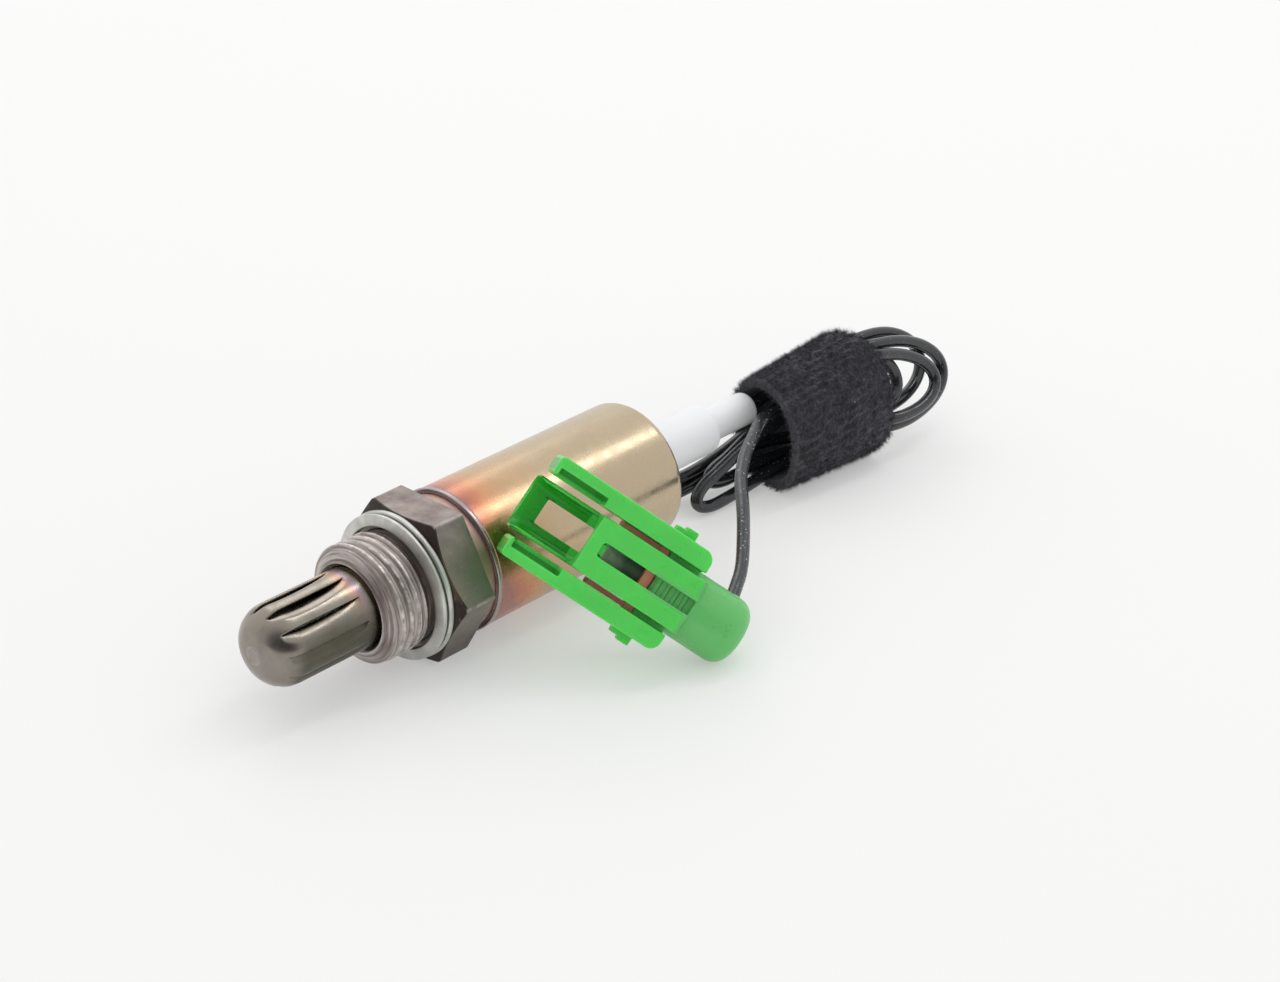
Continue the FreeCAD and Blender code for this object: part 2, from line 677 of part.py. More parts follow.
def wire_strap():
    """Strap round the bundle: a slightly conical oval ring with a slanted mouth."""
    far_x = STRAP_END
    near_x = STRAP_MOUTH
    outer = Part.makeLoft([strap_section(near_x, 0.0), strap_section(far_x, 0.0)], True, True)
    inner = Part.makeLoft(
        [strap_section(near_x, STRAP_WALL), strap_section(far_x, STRAP_WALL)], True, True)
    ring = outer.cut(inner)
    hinge_y = STRAP_MOUTH_CENTRE[0] - STRAP_MOUTH_HALF_WIDTH
    far_y = hinge_y + 2.0 * REACH
    slant = outline(
        (near_x - REACH, hinge_y),
        [(near_x, hinge_y), (near_x + STRAP_MOUTH_SLOPE * (far_y - hinge_y), far_y), (near_x - REACH, far_y)],
        lambda pair: vec(pair[0], pair[1], -REACH),
    ).extrude(vec(0, 0, 2.0 * REACH))
    return ring.cut(slant)


def ellipse_section(x, y, z, half_width, half_height):
    """Elliptical section of the hank across X."""
    if half_width >= half_height:
        major, minor, along = half_width, half_height, vec(0, 1, 0)
    else:
        major, minor, along = half_height, half_width, vec(0, 0, 1)
    ellipse = Part.Ellipse(vec(0, 0, 0), major, minor)
    wire = Part.Wire(ellipse.toShape())
    turn = FreeCAD.Rotation(along, vec(0, 0, 0), vec(1, 0, 0), "XZY")
    wire.Placement = FreeCAD.Placement(vec(x, y, z), turn)
    return wire


def wire_hank():
    """Outer shape of the lead's bundled loops: a low lobe beside the boot and a drooping one behind."""
    left = Part.makeLoft([ellipse_section(*size) for size in HANK_LEFT_LOBE], True, False)
    inset = STRAP_WALL + STRAP_CLEARANCE
    core = Part.makeLoft([strap_section(BOOT_END, inset), strap_section(STRAP_END, inset)], True, True)
    right = Part.makeLoft([ellipse_section(*size) for size in HANK_RIGHT_LOBE], True, False)
    return merged([left, core, right])


def connector_placement():
    turn = FreeCAD.Rotation(vec(0, 0, 1), CONNECTOR_YAW)
    turn = turn.multiply(FreeCAD.Rotation(vec(0, 1, 0), CONNECTOR_PITCH))
    turn = turn.multiply(FreeCAD.Rotation(vec(1, 0, 0), CONNECTOR_ROLL))
    return FreeCAD.Placement(vec(*CONNECTOR_ORIGIN), turn)


def placed(shape):
    """The connector's pieces are drawn in its own frame and then set where it lies."""
    whole = shape.copy()
    whole.Placement = connector_placement().multiply(whole.Placement)
    return whole


def outlet_direction():
    angle = math.radians(OUTLET_ANGLE)
    return vec(0, math.sin(angle), -math.cos(angle))


def lead_tail():
    """Single stretch of lead from the connector's outlet to the bundle."""
    place = connector_placement()
    leave = vec(OUTLET_PLACE, 0, 0) + outlet_direction() * OUTLET_REACH
    beyond = vec(OUTLET_PLACE, 0, 0) + outlet_direction() * (OUTLET_REACH + LEAD_EXIT_RUN)
    points = [place.multVec(leave), place.multVec(beyond)]
    points += [vec(*point) for point in LEAD_TAIL_POINTS]
    path = rounded_path(points)
    lead = lead_along(path, LEAD_RADIUS)
    ideal = math.pi * LEAD_RADIUS ** 2 * path.Length
    print("lead_tail exit", [round(value, 2) for value in points[0]], "length", round(path.Length, 2))
    print("lead_tail radii", bend_radii(path))
    print("lead_tail volume over section times length", round(lead.Volume / ideal, 4))
    return lead


def edges_along(shape, direction, test):
    """Straight edges of a shape that run along a direction and pass a test on their middle."""
    chosen = []
    for edge in shape.Edges:
        span = edge.lastVertex().Point - edge.firstVertex().Point
        if span.Length < SAME_PLACE:
            continue
        if abs(abs(span.normalize().dot(direction)) - 1.0) > SAME_PLACE:
            continue
        if test(edge.CenterOfMass):
            chosen.append(edge)
    return chosen


def side_rail():
    """One side rail of the connector, on its +Y side, with the groove in its front part and its peg."""
    rail = block(RAIL_START, RAIL_END, RAIL_INNER, RAIL_OUTER, CONNECTOR_UNDERSIDE, CONNECTOR_TOP)
    upright = vec(0, 0, 1)
    rear = edges_along(rail, upright, lambda at: at.x > RAIL_END - NEAR and at.y > RAIL_OUTER - NEAR)
    rail = rail.makeFillet(RAIL_REAR_ROUND, rear)
    front = edges_along(rail, upright, lambda at: at.x < RAIL_START + NEAR)
    rail = rail.makeFillet(RAIL_FRONT_ROUND, front)
    rim = [edge for edge in rail.Edges if abs(edge.CenterOfMass.z - CONNECTOR_TOP) < SAME_PLACE]
    rail = rail.makeFillet(EDGE_ROUND, rim)
    groove = block(RAIL_START + RAIL_GROOVE_WALL, RAIL_GROOVE_END, RAIL_INNER - OVERCUT, RAIL_GROOVE_EDGE,
                   RAIL_GROOVE_FLOOR, CONNECTOR_TOP + OVERCUT)
    rail = rail.cut(groove)
    peg_middle = PEG_START + PEG_LENGTH * HALF
    low = PEG_LEVEL - PEG_HEIGHT * HALF
    high = PEG_LEVEL + PEG_HEIGHT * HALF
    root = RAIL_OUTER - RAIL_GROOVE_WALL
    peg = block(peg_middle - EDGE_ROUND, PEG_START + PEG_LENGTH, root, RAIL_OUTER + PEG_REACH, low, high)
    step = block(PEG_START, peg_middle, root, RAIL_OUTER + PEG_REACH - PEG_STEP, low, high)
    peg = peg.makeFillet(EDGE_ROUND, edges_along(peg, vec(0, 0, 1), lambda at: at.y > RAIL_OUTER))
    step = step.makeFillet(EDGE_ROUND, edges_along(step, vec(0, 0, 1), lambda at: at.y > RAIL_OUTER))
    return merged([rail, peg, step])


def latch_tower():
    """Upright block over the terminal with its front bar and the two prongs behind."""
    tower = block(BRIDGE_START, PRONG_END, -SOCKET_RADIUS, SOCKET_RADIUS, 0.0, CONNECTOR_TOP)
    rim = [edge for edge in tower.Edges if abs(edge.CenterOfMass.z - CONNECTOR_TOP) < SAME_PLACE]
    tower = tower.makeFillet(EDGE_ROUND, rim)
    slot = block(SLOT_START, PRONG_END + OVERCUT, -SLOT_HALF_WIDTH, SLOT_HALF_WIDTH,
                 0.0, CONNECTOR_TOP + OVERCUT)
    corner = edges_along(slot, vec(0, 0, 1), lambda at: at.x < SLOT_START + NEAR)
    return tower.cut(slot.makeFillet(SLOT_HALF_WIDTH * HALF, corner))


def hood():
    """Rear barrel, closed and rounded at its end, with the short collar of its outlet."""
    barrel = bar(BULKHEAD, HOOD_END, HOOD_RADIUS)
    end_rim = [edge for edge in barrel.Edges if abs(edge.CenterOfMass.x - HOOD_END) < SAME_PLACE]
    barrel = barrel.makeFillet(HOOD_ROUND, end_rim)
    collar = Part.makeCylinder(OUTLET_RADIUS, OUTLET_REACH, vec(OUTLET_PLACE, 0, 0), outlet_direction())
    return barrel.fuse(collar)


def connector_housing():
    """One-way connector moulded in one piece: socket, latch tower, side rails, hood and outlet."""
    socket = bar(0.0, BULKHEAD, SOCKET_RADIUS)
    beyond = SOCKET_RADIUS + OVERCUT
    open_top = block(-OVERCUT, BRIDGE_START, -beyond, beyond, 0.0, CONNECTOR_TOP)
    socket = socket.cut(open_top)
    right_rail = side_rail()
    left_rail = right_rail.mirror(vec(0, 0, 0), vec(0, 1, 0))
    web = block(BULKHEAD, BULKHEAD + WEB_LENGTH, -RAIL_INNER - RAIL_GROOVE_WALL,
                RAIL_INNER + RAIL_GROOVE_WALL, CONNECTOR_UNDERSIDE, WEB_TOP)
    whole = socket.fuse([latch_tower(), hood(), web, right_rail, left_rail])
    flare = Part.makeCone(SOCKET_BORE + SOCKET_MOUTH_FLARE, SOCKET_BORE, SOCKET_MOUTH_LENGTH,
                          vec(0, 0, 0), vec(1, 0, 0))
    hollow = bar(TERMINAL_END, HOOD_END - HOOD_WALL, HOOD_RADIUS - HOOD_WALL - SLOT_HALF_WIDTH * HALF)
    top_slot = block(SLOT_START + OVERCUT, PRONG_END, -SLOT_HALF_WIDTH, SLOT_HALF_WIDTH, 0.0, CONNECTOR_TOP)
    seen = block(BULKHEAD, PRONG_END, -SLOT_HALF_WIDTH, SLOT_HALF_WIDTH, SLOT_FLOOR, CONNECTOR_TOP + OVERCUT)
    window = block(WINDOW_START, SLOT_START, -WINDOW_HALF_WIDTH, WINDOW_HALF_WIDTH, -beyond, 0.0)
    front = edges_along(window, vec(0, 0, 1), lambda at: at.x < WINDOW_START + NEAR)
    window = window.makeFillet(WINDOW_HALF_WIDTH * HALF, front)
    cuts = [
        bar(-OVERCUT, SLOT_START, SOCKET_BORE),
        flare,
        bar(SLOT_START - OVERCUT, TERMINAL_END + OVERCUT, TERMINAL_BORE),
        top_slot.cut(block(BULKHEAD, REACH, -REACH, REACH, -REACH, REACH)),
        seen,
        window,
        hollow,
        clip_space(),
        lead_along(hood_path(), LEAD_RADIUS + LEAD_CLEARANCE),
    ]
    whole = whole.cut(cuts)
    ribs = []
    pitch = (PRONG_END - BULKHEAD) / RIB_COUNT
    for number in range(RIB_COUNT):
        # Each rib fills the middle half of its pitch
        start = BULKHEAD + pitch * (number + HALF * HALF)
        ribs.append(block(start, start + pitch * HALF, -SLOT_HALF_WIDTH - EDGE_ROUND,
                          SLOT_HALF_WIDTH + EDGE_ROUND, SLOT_FLOOR - RIB_HEIGHT, SLOT_FLOOR + RIB_HEIGHT))
    return placed(merged([whole] + ribs))


def clip_space():
    """Cross slot through the tower for the lock clip's bar."""
    beyond = SOCKET_RADIUS + OVERCUT
    return block(CLIP_BAR_START - CLIP_FIT, CLIP_END + CLIP_FIT, -beyond, beyond,
                 TERMINAL_NECK_RADIUS, CLIP_BAR_TOP + CLIP_FIT)


def terminal_lock_clip():
    """Lock clip: a leg along each side of the tower and a bar across behind the terminal's shoulder."""
    inner = SOCKET_RADIUS + CLIP_FIT
    outer = RAIL_INNER - CLIP_FIT
    right = block(CLIP_START, CLIP_END, inner, outer, CLIP_LEG_BOTTOM, CLIP_LEG_TOP)
    left = block(CLIP_START, CLIP_END, -outer, -inner, CLIP_LEG_BOTTOM, CLIP_LEG_TOP)
    across = block(CLIP_BAR_START, CLIP_END, -outer, outer, TERMINAL_NECK_RADIUS + CLIP_FIT, CLIP_BAR_TOP)
    return placed(merged([across, right, left]))


def receptacle_terminal():
    """Rolled receptacle with a notched mouth, a shoulder and a narrower neck."""
    bore = TERMINAL_RADIUS - TERMINAL_WALL
    neck = TERMINAL_NECK_RADIUS
    tube = turned(
        (TERMINAL_START, bore),
        (TERMINAL_START, TERMINAL_RADIUS),
        (TERMINAL_SHOULDER, TERMINAL_RADIUS),
        (TERMINAL_SHOULDER, neck),
        (TERMINAL_END, neck),
        (TERMINAL_END, 0.0),
        (TERMINAL_SHOULDER - TERMINAL_WALL, 0.0),
        (TERMINAL_SHOULDER - TERMINAL_WALL, bore),
    )
    notch = Part.makeCylinder(TERMINAL_NOTCH, 2.0 * TERMINAL_RADIUS, vec(TERMINAL_START, 0, 0), vec(0, 0, 1))
    return placed(tube.cut(notch))


def terminal_wire_grip():
    """Wings of the terminal rolled round the lead."""
    bore = GRIP_RADIUS - GRIP_WALL
    grip = turned(
        (TERMINAL_END, bore),
        (TERMINAL_END, GRIP_RADIUS),
        (GRIP_END, GRIP_RADIUS),
        (GRIP_END, bore),
    )
    seam = block(TERMINAL_END - OVERCUT, GRIP_END + OVERCUT, -GRIP_WALL * HALF, GRIP_WALL * HALF, 0.0, REACH)
    return placed(grip.cut(seam))


def hood_path():
    """Line of the lead from the wire grip to the outlet, with one close bend."""
    start = vec(TERMINAL_END + STACK_CLEARANCE, 0, 0)
    corner = vec(OUTLET_PLACE, 0, 0)
    leave = corner + outlet_direction() * OUTLET_REACH
    return rounded_path([start, corner, leave])


def lead_in_hood():
    """Lead inside the hood, bent to the outlet."""
    return placed(lead_along(hood_path(), LEAD_RADIUS))


def lead_in_boot():
    """Lead inside the boot."""
    path = lead_path_in_boot()
    print("lead_in_boot radii", bend_radii(path))
    return lead_along(path, LEAD_RADIUS)


def main():
    os.makedirs("parts", exist_ok=True)
    pieces = {
        "steel_housing": steel_housing(),
        "sealing_gasket": sealing_gasket(),
        "protection_tube": protection_tube(),
        "protective_sleeve": protective_sleeve(),
        "ceramic_element": ceramic_element(),
        "element_seal_ring": element_seal_ring(),
        "contact_element": contact_element(),
        "ceramic_support_tube": ceramic_support_tube(),
        "disc_spring": disc_spring(),
        "spring_plate": spring_plate(),
        "crimp_ferrule": crimp_ferrule(),
        "insulating_boot": insulating_boot(),
        "lead_in_boot": lead_in_boot(),
        "wire_hank": wire_hank(),
        "wire_strap": wire_strap(),
        "lead_tail": lead_tail(),
        "connector_housing": connector_housing(),
        "terminal_lock_clip": terminal_lock_clip(),
        "receptacle_terminal": receptacle_terminal(),
        "terminal_wire_grip": terminal_wire_grip(),
        "lead_in_hood": lead_in_hood(),
    }
    for name, shape in pieces.items():
        box = shape.BoundBox
        print(name, "valid", shape.isValid(), "solids", len(shape.Solids), "volume", round(shape.Volume, 2),
              "lowest", round(box.ZMin, 3))
        shape.exportStep(os.path.join("parts", name + ".step"))


main()
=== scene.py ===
"""Dressed model of an oxygen sensor: threaded steel housing, louvred protection tube, heat-tinted sleeve,
white boot, black lead bundled in its strap, and the green one-way connector.

Shapes are worked out in millimetres in the sensor's own frame and become metres when a mesh is made.
"""
import math

import bmesh
import bpy
import numpy as np
from mathutils import Matrix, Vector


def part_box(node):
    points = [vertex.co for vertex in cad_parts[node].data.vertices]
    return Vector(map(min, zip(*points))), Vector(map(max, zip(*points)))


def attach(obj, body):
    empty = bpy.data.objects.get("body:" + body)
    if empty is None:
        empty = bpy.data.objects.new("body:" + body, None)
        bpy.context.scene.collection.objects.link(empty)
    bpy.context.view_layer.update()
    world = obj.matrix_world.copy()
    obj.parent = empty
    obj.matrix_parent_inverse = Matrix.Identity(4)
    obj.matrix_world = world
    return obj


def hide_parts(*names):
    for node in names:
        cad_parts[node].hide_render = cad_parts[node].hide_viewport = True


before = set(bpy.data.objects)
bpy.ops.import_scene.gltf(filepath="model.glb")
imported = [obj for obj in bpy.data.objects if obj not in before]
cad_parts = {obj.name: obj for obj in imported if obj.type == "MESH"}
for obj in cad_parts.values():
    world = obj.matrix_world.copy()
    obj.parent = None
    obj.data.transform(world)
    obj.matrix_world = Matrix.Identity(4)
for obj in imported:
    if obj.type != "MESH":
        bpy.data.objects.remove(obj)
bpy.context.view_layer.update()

bl_info = {
    "name": "Oxygen Sensor",
    "version": (1, 0, 0),
    "blender": (4, 5, 0),
    "location": "View3D > Sidebar > Sensor",
    "description": "Builds the dressed oxygen sensor round its construction solids",
    "category": "Object",
}

BODY = "root"
MM = 0.001
FULL_TURN = 2.0 * math.pi
FINISH = "_finish"

# Steel housing and gasket
THREAD_RADIUS = 9.0
THREAD_START = -6.2
NOSE_END = -7.44
NOSE_BORE = 6.18
NOSE_MOUTH = 6.62
NOSE_MOUTH_DEPTH = 0.6
NECK_RADIUS = 8.5
HEX_FRONT = 2.2
HEX_BACK = 8.6
HEX_HALF = 11.0
HEX_CHAMFER = math.radians(30.0)
HEX_EASE = 0.12
CREST_SHARE = 0.16
FLANK_SHARE = 0.62
THREAD_RUNOUT = 1.1
SLEEVE_NECK_RADIUS = 10.314
SLEEVE_NECK_END = 14.0
REAR_BORE = 7.6
FRONT_BORE = 4.9
SEAT_END = 2.1
SEAT_START = -0.6
FLANGE_SEAT_BACK = -3.1
FLANGE_SEAT_FRONT = -3.6
FLANGE_SEAT_RADIUS = 7.01
GASKET_FRONT_RADIUS = 11.05
GASKET_BACK_RADIUS = 11.15
GASKET_FOLD_RADIUS = 9.65
GASKET_FRONT_BORE = 9.26
GASKET_BACK_BORE = 8.62
GASKET_LAYER_FRONT = 0.95
GASKET_LAYER_BACK = 1.25
GASKET_BACK = 2.17

# Protection tube
TUBE_RADIUS = 6.07
TUBE_TIP = -24.8
TUBE_DOME = 4.6
TUBE_FLANGE = 6.9
DIMPLE_RADIUS = 1.25
DIMPLE_DEPTH = 0.12
LOUVRES = 10
LOUVRE_FIRST = 46.0
LOUVRE_FRONT = -22.7
LOUVRE_BACK = -9.2
LOUVRE_GAP = 0.16
LIP_DEPTH = 0.06
LIP_REACH = 0.9
PRESS_POWER = 1.3
TUBE_WALL = 0.38

# Sleeve and boot
SLEEVE_RADIUS = 10.954
SLEEVE_WALL = 0.6
SLEEVE_FRONT = 10.8
SLEEVE_BACK = 50.1
SLEEVE_RIM = 11.1
SLEEVE_RIM_LENGTH = 0.55
SLEEVE_CORNER = 1.6
BOOT_HEIGHT = 0.8
BOOT_HOLE = 4.1
BOOT_START = 46.2
BOOT_FLANGE = 6.6
BOOT_FLANGE_BACK = 49.45
BOOT_RADIUS = 4.0
BOOT_STEP = 66.3
BOOT_TAIL = 2.67
BOOT_END = 76.5
BOOT_BORE = 1.08
BOOT_BORE_DEPTH = 8.0

# Strap: an oval ring that widens from its slanted mouth to its far end
STRAP_WALL = 1.3
STRAP_ROUNDNESS = 2.2
STRAP_MOUTH = 74.2
STRAP_SLOPE = 0.19
STRAP_END = 94.6
STRAP_CENTRES = ((-4.35, -2.45), (-6.6, -0.8))
STRAP_HALVES = ((8.25, 8.7), (9.0, 10.35))
STRAP_NEAR_SIDE = STRAP_CENTRES[0][0] - STRAP_HALVES[0][0]
STRAP_ROWS = 41.0
STRAP_WIDTH = 18.0
STRAP_EDGE = 0.35
STRAP_COLUMNS = 480
STRAP_STEPS = 71
TUFT_FIBRES = 10
FIBRE_RADIUS = 0.024
RIM_FIBRES = 0.14
TUFT_LEAN = 0.42
FIBRE_LEAN = 0.45

# Lead: the stretch from the connector to the bundle
LEAD_TAIL = [
    (76.5, -6.4, 2.3),
    (72.6, -6.4, 2.3),
    (68.4, -8.8, 2.3),
    (62.3, -12.0, 1.84),
    (56.9, -15.8, 1.0),
    (52.1, -20.7, 0.1),
    (47.5, -24.8, -1.9),
    (43.0, -28.5, -3.6),
    (38.99, -30.82, -4.24),
    (36.37, -32.13, -4.88),
]
# Bundle: passes through the strap and the half turns between them, each (in, apex, out)
TURN_POINTS = 7
BUNDLE = [
    ("pass", [(76.5, 0.0, 0.8), (79.5, -0.5, 1.3), (86.0, -2.0, 3.7), (94.0, -4.0, 6.4)]),
    ("turn", [(98.8, -4.3, 6.65), (111.3, -7.3, 1.35), (101.0, -10.4, -4.3)]),
    ("pass", [(94.0, -8.9, -5.0), (86.0, -4.6, -6.0), (77.5, 0.4, -6.3), (70.8, 0.6, -7.9),
              (64.0, 0.9, -9.3)]),
    ("turn", [(58.0, 2.3, -9.7), (53.0, 4.4, -9.5), (59.0, 3.0, -7.9)]),
    ("pass", [(64.2, 1.4, -7.2), (70.6, 1.3, -6.5), (77.5, 1.2, -5.0), (86.0, -2.7, 1.0), (94.0, -6.6, 7.0)]),
    ("turn", [(97.3, -7.9, 7.0), (112.9, -11.2, -0.4), (98.7, -13.6, -5.9)]),
    ("pass", [(94.0, -11.0, -5.6), (86.0, -7.0, -6.8), (77.5, -2.6, -8.2)]),
    ("turn", [(70.5, -2.7, -8.35), (65.3, -1.9, -7.4), (70.0, -1.5, -5.6)]),
    ("pass", [(77.0, -1.4, -3.0), (86.0, -4.6, 3.0), (94.0, -8.9, 6.3)]),
    ("turn", [(96.0, -9.8, 6.3), (108.8, -12.95, -0.55), (97.0, -14.4, -3.9)]),
    ("pass", [(94.0, -12.6, -3.4), (86.0, -9.2, -6.0), (77.5, -5.4, -8.4), (72.0, -5.0, -9.5)]),
    ("turn", [(66.0, -4.9, -9.9), (60.5, -3.8, -8.9), (65.5, -3.4, -5.8)]),
    ("pass", [(71.5, -3.5, -3.6), (77.0, -4.0, -1.6), (86.0, -6.6, 1.2), (94.0, -7.8, 4.6)]),
    ("turn", [(97.6, -8.5, 4.9), (101.9, -10.0, 0.9), (98.6, -11.2, -2.2)]),
    ("pass", [(94.0, -10.4, -2.4), (86.0, -8.4, 0.0), (80.3, -6.8, 1.7)]),
]

# Connector: its own frame, front to rear, across, and out of its top
CONNECTOR_ORIGIN = (15.114, -11.20, 12.95)
CONNECTOR_TURN = (-55.0, 33.7, 60.0)
STATIONS_DRAWN = (0.0, 10.3, 21.6, 27.3, 37.25)
STATIONS_SEEN = (0.95, 10.8, 21.9, 27.5, 37.25)
SOCKET_REACH = (3.5, 4.4)
SOCKET_END = 10.5
SOCKET_BLEND = 3.0
SOCKET_SQUARENESS = 5.0
WINDOW_START = 4.0
WINDOW_HALF = 1.25
WINDOW_CORNER = 0.625
WINDOW_SEEN_HALF = 1.93
WINDOW_FORWARD = 0.62
TROUGH_FLOOR_HALF = 3.3
TROUGH_FLOOR_TOP = -3.0
PRONG_END = 27.5
PRONG_LEVEL = 1.0
PRONG_MORE = 0.6
RIB_END = 27.8
RIB_HALF = 1.6
RIB_FLOOR = 4.0
RIB_HEIGHT = 0.5
RIB_SHARE = 0.15
ON_CORNER = 0.08
ON_EDGE = 0.05
ON_TIP = 0.3
# Where its plastic is bulky and takes painted light, and where its hollows take painted shade
CORE_START = 21.2
CORE_HALF = 4.6
CORE_TOP = 5.0
PRONG_GAP_HALF = 1.55
HOOD_START = 27.6
HOOD_FULL = 28.0
TROUGH_HALF = 3.95
TROUGH_FADE = (-0.1, -1.2)
GROOVE_INNER = 5.75
GROOVE_OUTER = 7.5
GROOVE_TOP = 5.2
GROOVE_END = 10.6

# View: the camera's place in millimetres and its axes
CAMERA_PLACE = (-217.596, -252.016, 193.361)
CAMERA_RIGHT = (0.6833, -0.7302, 0.0)
CAMERA_UP = (0.3454, 0.3232, 0.8811)
CAMERA_BACK = (-0.6433, -0.602, 0.473)
CAMERA_LENS = 76.42
CAMERA_SENSOR = 36.0
# Stage: each lamp's place, aim, size and watts
STRIP_LAMP = ((0.405, -0.10, 0.643), (0.03, -0.01, 0.0), (0.08, 0.55), 0.62)
BACK_LAMP = ((0.30, 0.50, 0.52), (0.03, 0.0, 0.0), (0.40, 0.40), 0.55)
DARK_SIDE = (-0.728, -0.678, 0.101)
FLOOR_LEVEL = -11.15
FLOOR_HALF = 6.0
FLOOR_GLOW = 0.34


class SensorSizes(bpy.types.PropertyGroup):
    """Sizes of the details that are dressed on."""

    thread_pitch: bpy.props.FloatProperty(
        name="Thread pitch", description="Advance of the thread in one turn",
        default=0.0015, unit="LENGTH", subtype="DISTANCE", precision=5)
    thread_depth: bpy.props.FloatProperty(
        name="Thread depth", description="Height of the worn thread from root to crest",
        default=0.00046, unit="LENGTH", subtype="DISTANCE", precision=5)
    louvre_depth: bpy.props.FloatProperty(
        name="Louvre depth", description="How far each flap of the protection tube is pressed inward",
        default=0.00102, unit="LENGTH", subtype="DISTANCE", precision=5)
    louvre_width: bpy.props.FloatProperty(
        name="Louvre width", description="Width of each pressed flap round the tube",
        default=0.0025, unit="LENGTH", subtype="DISTANCE", precision=5)
    lead_diameter: bpy.props.FloatProperty(
        name="Lead diameter", description="Outer diameter of the black lead",
        default=0.002, unit="LENGTH", subtype="DISTANCE", precision=5)
    nap_length: bpy.props.FloatProperty(
        name="Nap length", description="Length of the fibres that stand out of the strap",
        default=0.00125, unit="LENGTH", subtype="DISTANCE", precision=5)
    nap_count: bpy.props.IntProperty(
        name="Nap count", description="Number of fibres on the strap", default=46000, min=12)
    edge_round: bpy.props.FloatProperty(
        name="Moulded edge", description="Width of the rounding on the connector's moulded edges",
        default=0.0002, unit="LENGTH", subtype="DISTANCE", precision=5)


class SensorColours(bpy.types.PropertyGroup):
    """Base colours, linear."""

    connector: bpy.props.FloatVectorProperty(
        name="Connector green", description="Moulded plastic of the connector",
        subtype="COLOR", default=(0.095, 0.68, 0.105), min=0.0, max=1.0)
    clip: bpy.props.FloatVectorProperty(
        name="Clip brown", description="Moulded plastic of the lock clip",
        subtype="COLOR", default=(0.98, 0.35, 0.21), min=0.0, max=1.0)
    boot: bpy.props.FloatVectorProperty(
        name="Boot white", description="Fluoropolymer of the boot",
        subtype="COLOR", default=(0.905, 0.92, 0.94), min=0.0, max=1.0)
    jacket: bpy.props.FloatVectorProperty(
        name="Lead black", description="Jacket of the lead",
        subtype="COLOR", default=(0.014, 0.0155, 0.019), min=0.0, max=1.0)
    strap: bpy.props.FloatVectorProperty(
        name="Strap black", description="Napped fabric of the strap",
        subtype="COLOR", default=(0.030, 0.029, 0.035), min=0.0, max=1.0)
    floor: bpy.props.FloatVectorProperty(
        name="Floor", description="Pale floor under the object",
        subtype="COLOR", default=(0.93, 0.93, 0.925), min=0.0, max=1.0)


def linear(red, green, blue):
    """Linear colour of a screen colour given from 0 to 255."""
    shares = (red / 255.0, green / 255.0, blue / 255.0)
    return tuple(s / 12.92 if s <= 0.04045 else ((s + 0.055) / 1.055) ** 2.4 for s in shares) + (1.0,)


def node(tree, kind, inputs=None, **settings):
    """Adds one shader node, sets its values and links what is given as a socket."""
    made = tree.nodes.new(kind)
    for key, value in settings.items():
        setattr(made, key, value)
    for key, value in (inputs or {}).items():
        if isinstance(value, bpy.types.NodeSocket):
            tree.links.new(value, made.inputs[key])
        else:
            made.inputs[key].default_value = value
    return made


def ramp(tree, factor, stops):
    """Colour ramp with (place, colour) stops."""
    made = node(tree, "ShaderNodeValToRGB", {"Fac": factor})
    elements = made.color_ramp.elements
    elements[0].position, elements[0].color = stops[0]
    elements[1].position, elements[1].color = stops[-1]
    for place, colour in stops[1:-1]:
        elements.new(place).color = colour
    return made.outputs["Color"]


def grey_stops(*pairs):
    """Stops of grey for a ramp, each (place, value)."""
    return [(place, (value, value, value, 1.0)) for place, value in pairs]


def tones(*rows):
    """Stops of colour for a ramp, each (place, red, green, blue) with the colour from 0 to 255."""
    return [(place, linear(*colour)) for place, *colour in rows]


def maths(tree, operation, first, second=0.0, clamp=False):
    """Result of one sum on sockets or numbers."""
    made = node(tree, "ShaderNodeMath", {0: first, 1: second}, operation=operation, use_clamp=clamp)
    return made.outputs[0]


def product(tree, first, *others):
    """All values multiplied together."""
    for other in others:
        first = maths(tree, "MULTIPLY", first, other)
    return first


def total(tree, first, *others):
    """All values added together."""
    for other in others:
        first = maths(tree, "ADD", first, other)
    return first


def less(tree, first, *others):
    """The first value less all the others."""
    for other in others:
        first = maths(tree, "SUBTRACT", first, other)
    return first


def above(tree, value, level):
    """One where the value is over the level, and zero elsewhere."""
    return maths(tree, "GREATER_THAN", value, level)


def below(tree, value, level):
    """One where the value is under the level, and zero elsewhere."""
    return maths(tree, "LESS_THAN", value, level)


def mapped(tree, value, start, end, low=0.0, high=1.0):
    """Value carried from the span start to end onto the span low to high, and held at both."""
    made = node(tree, "ShaderNodeMapRange", {
        "Value": value, "From Min": start, "From Max": end, "To Min": low, "To Max": high})
    return made.outputs[0]


def blended(tree, factor, first, second):
    """Mix of two colours."""
    made = node(tree, "ShaderNodeMix", {0: factor, 6: first, 7: second}, data_type="RGBA", blend_type="MIX")
    return made.outputs[2]


def layered(tree, colour, *layers):
    """Colour under layers, each (factor, (red, green, blue)) with the colour from 0 to 255."""
    for factor, layer in layers:
        colour = blended(tree, factor, colour, linear(*layer))
    return colour


def opaque(colour, share=1.0):
    """Share of a colour, with full alpha."""
    return tuple(share * value for value in colour) + (1.0,)


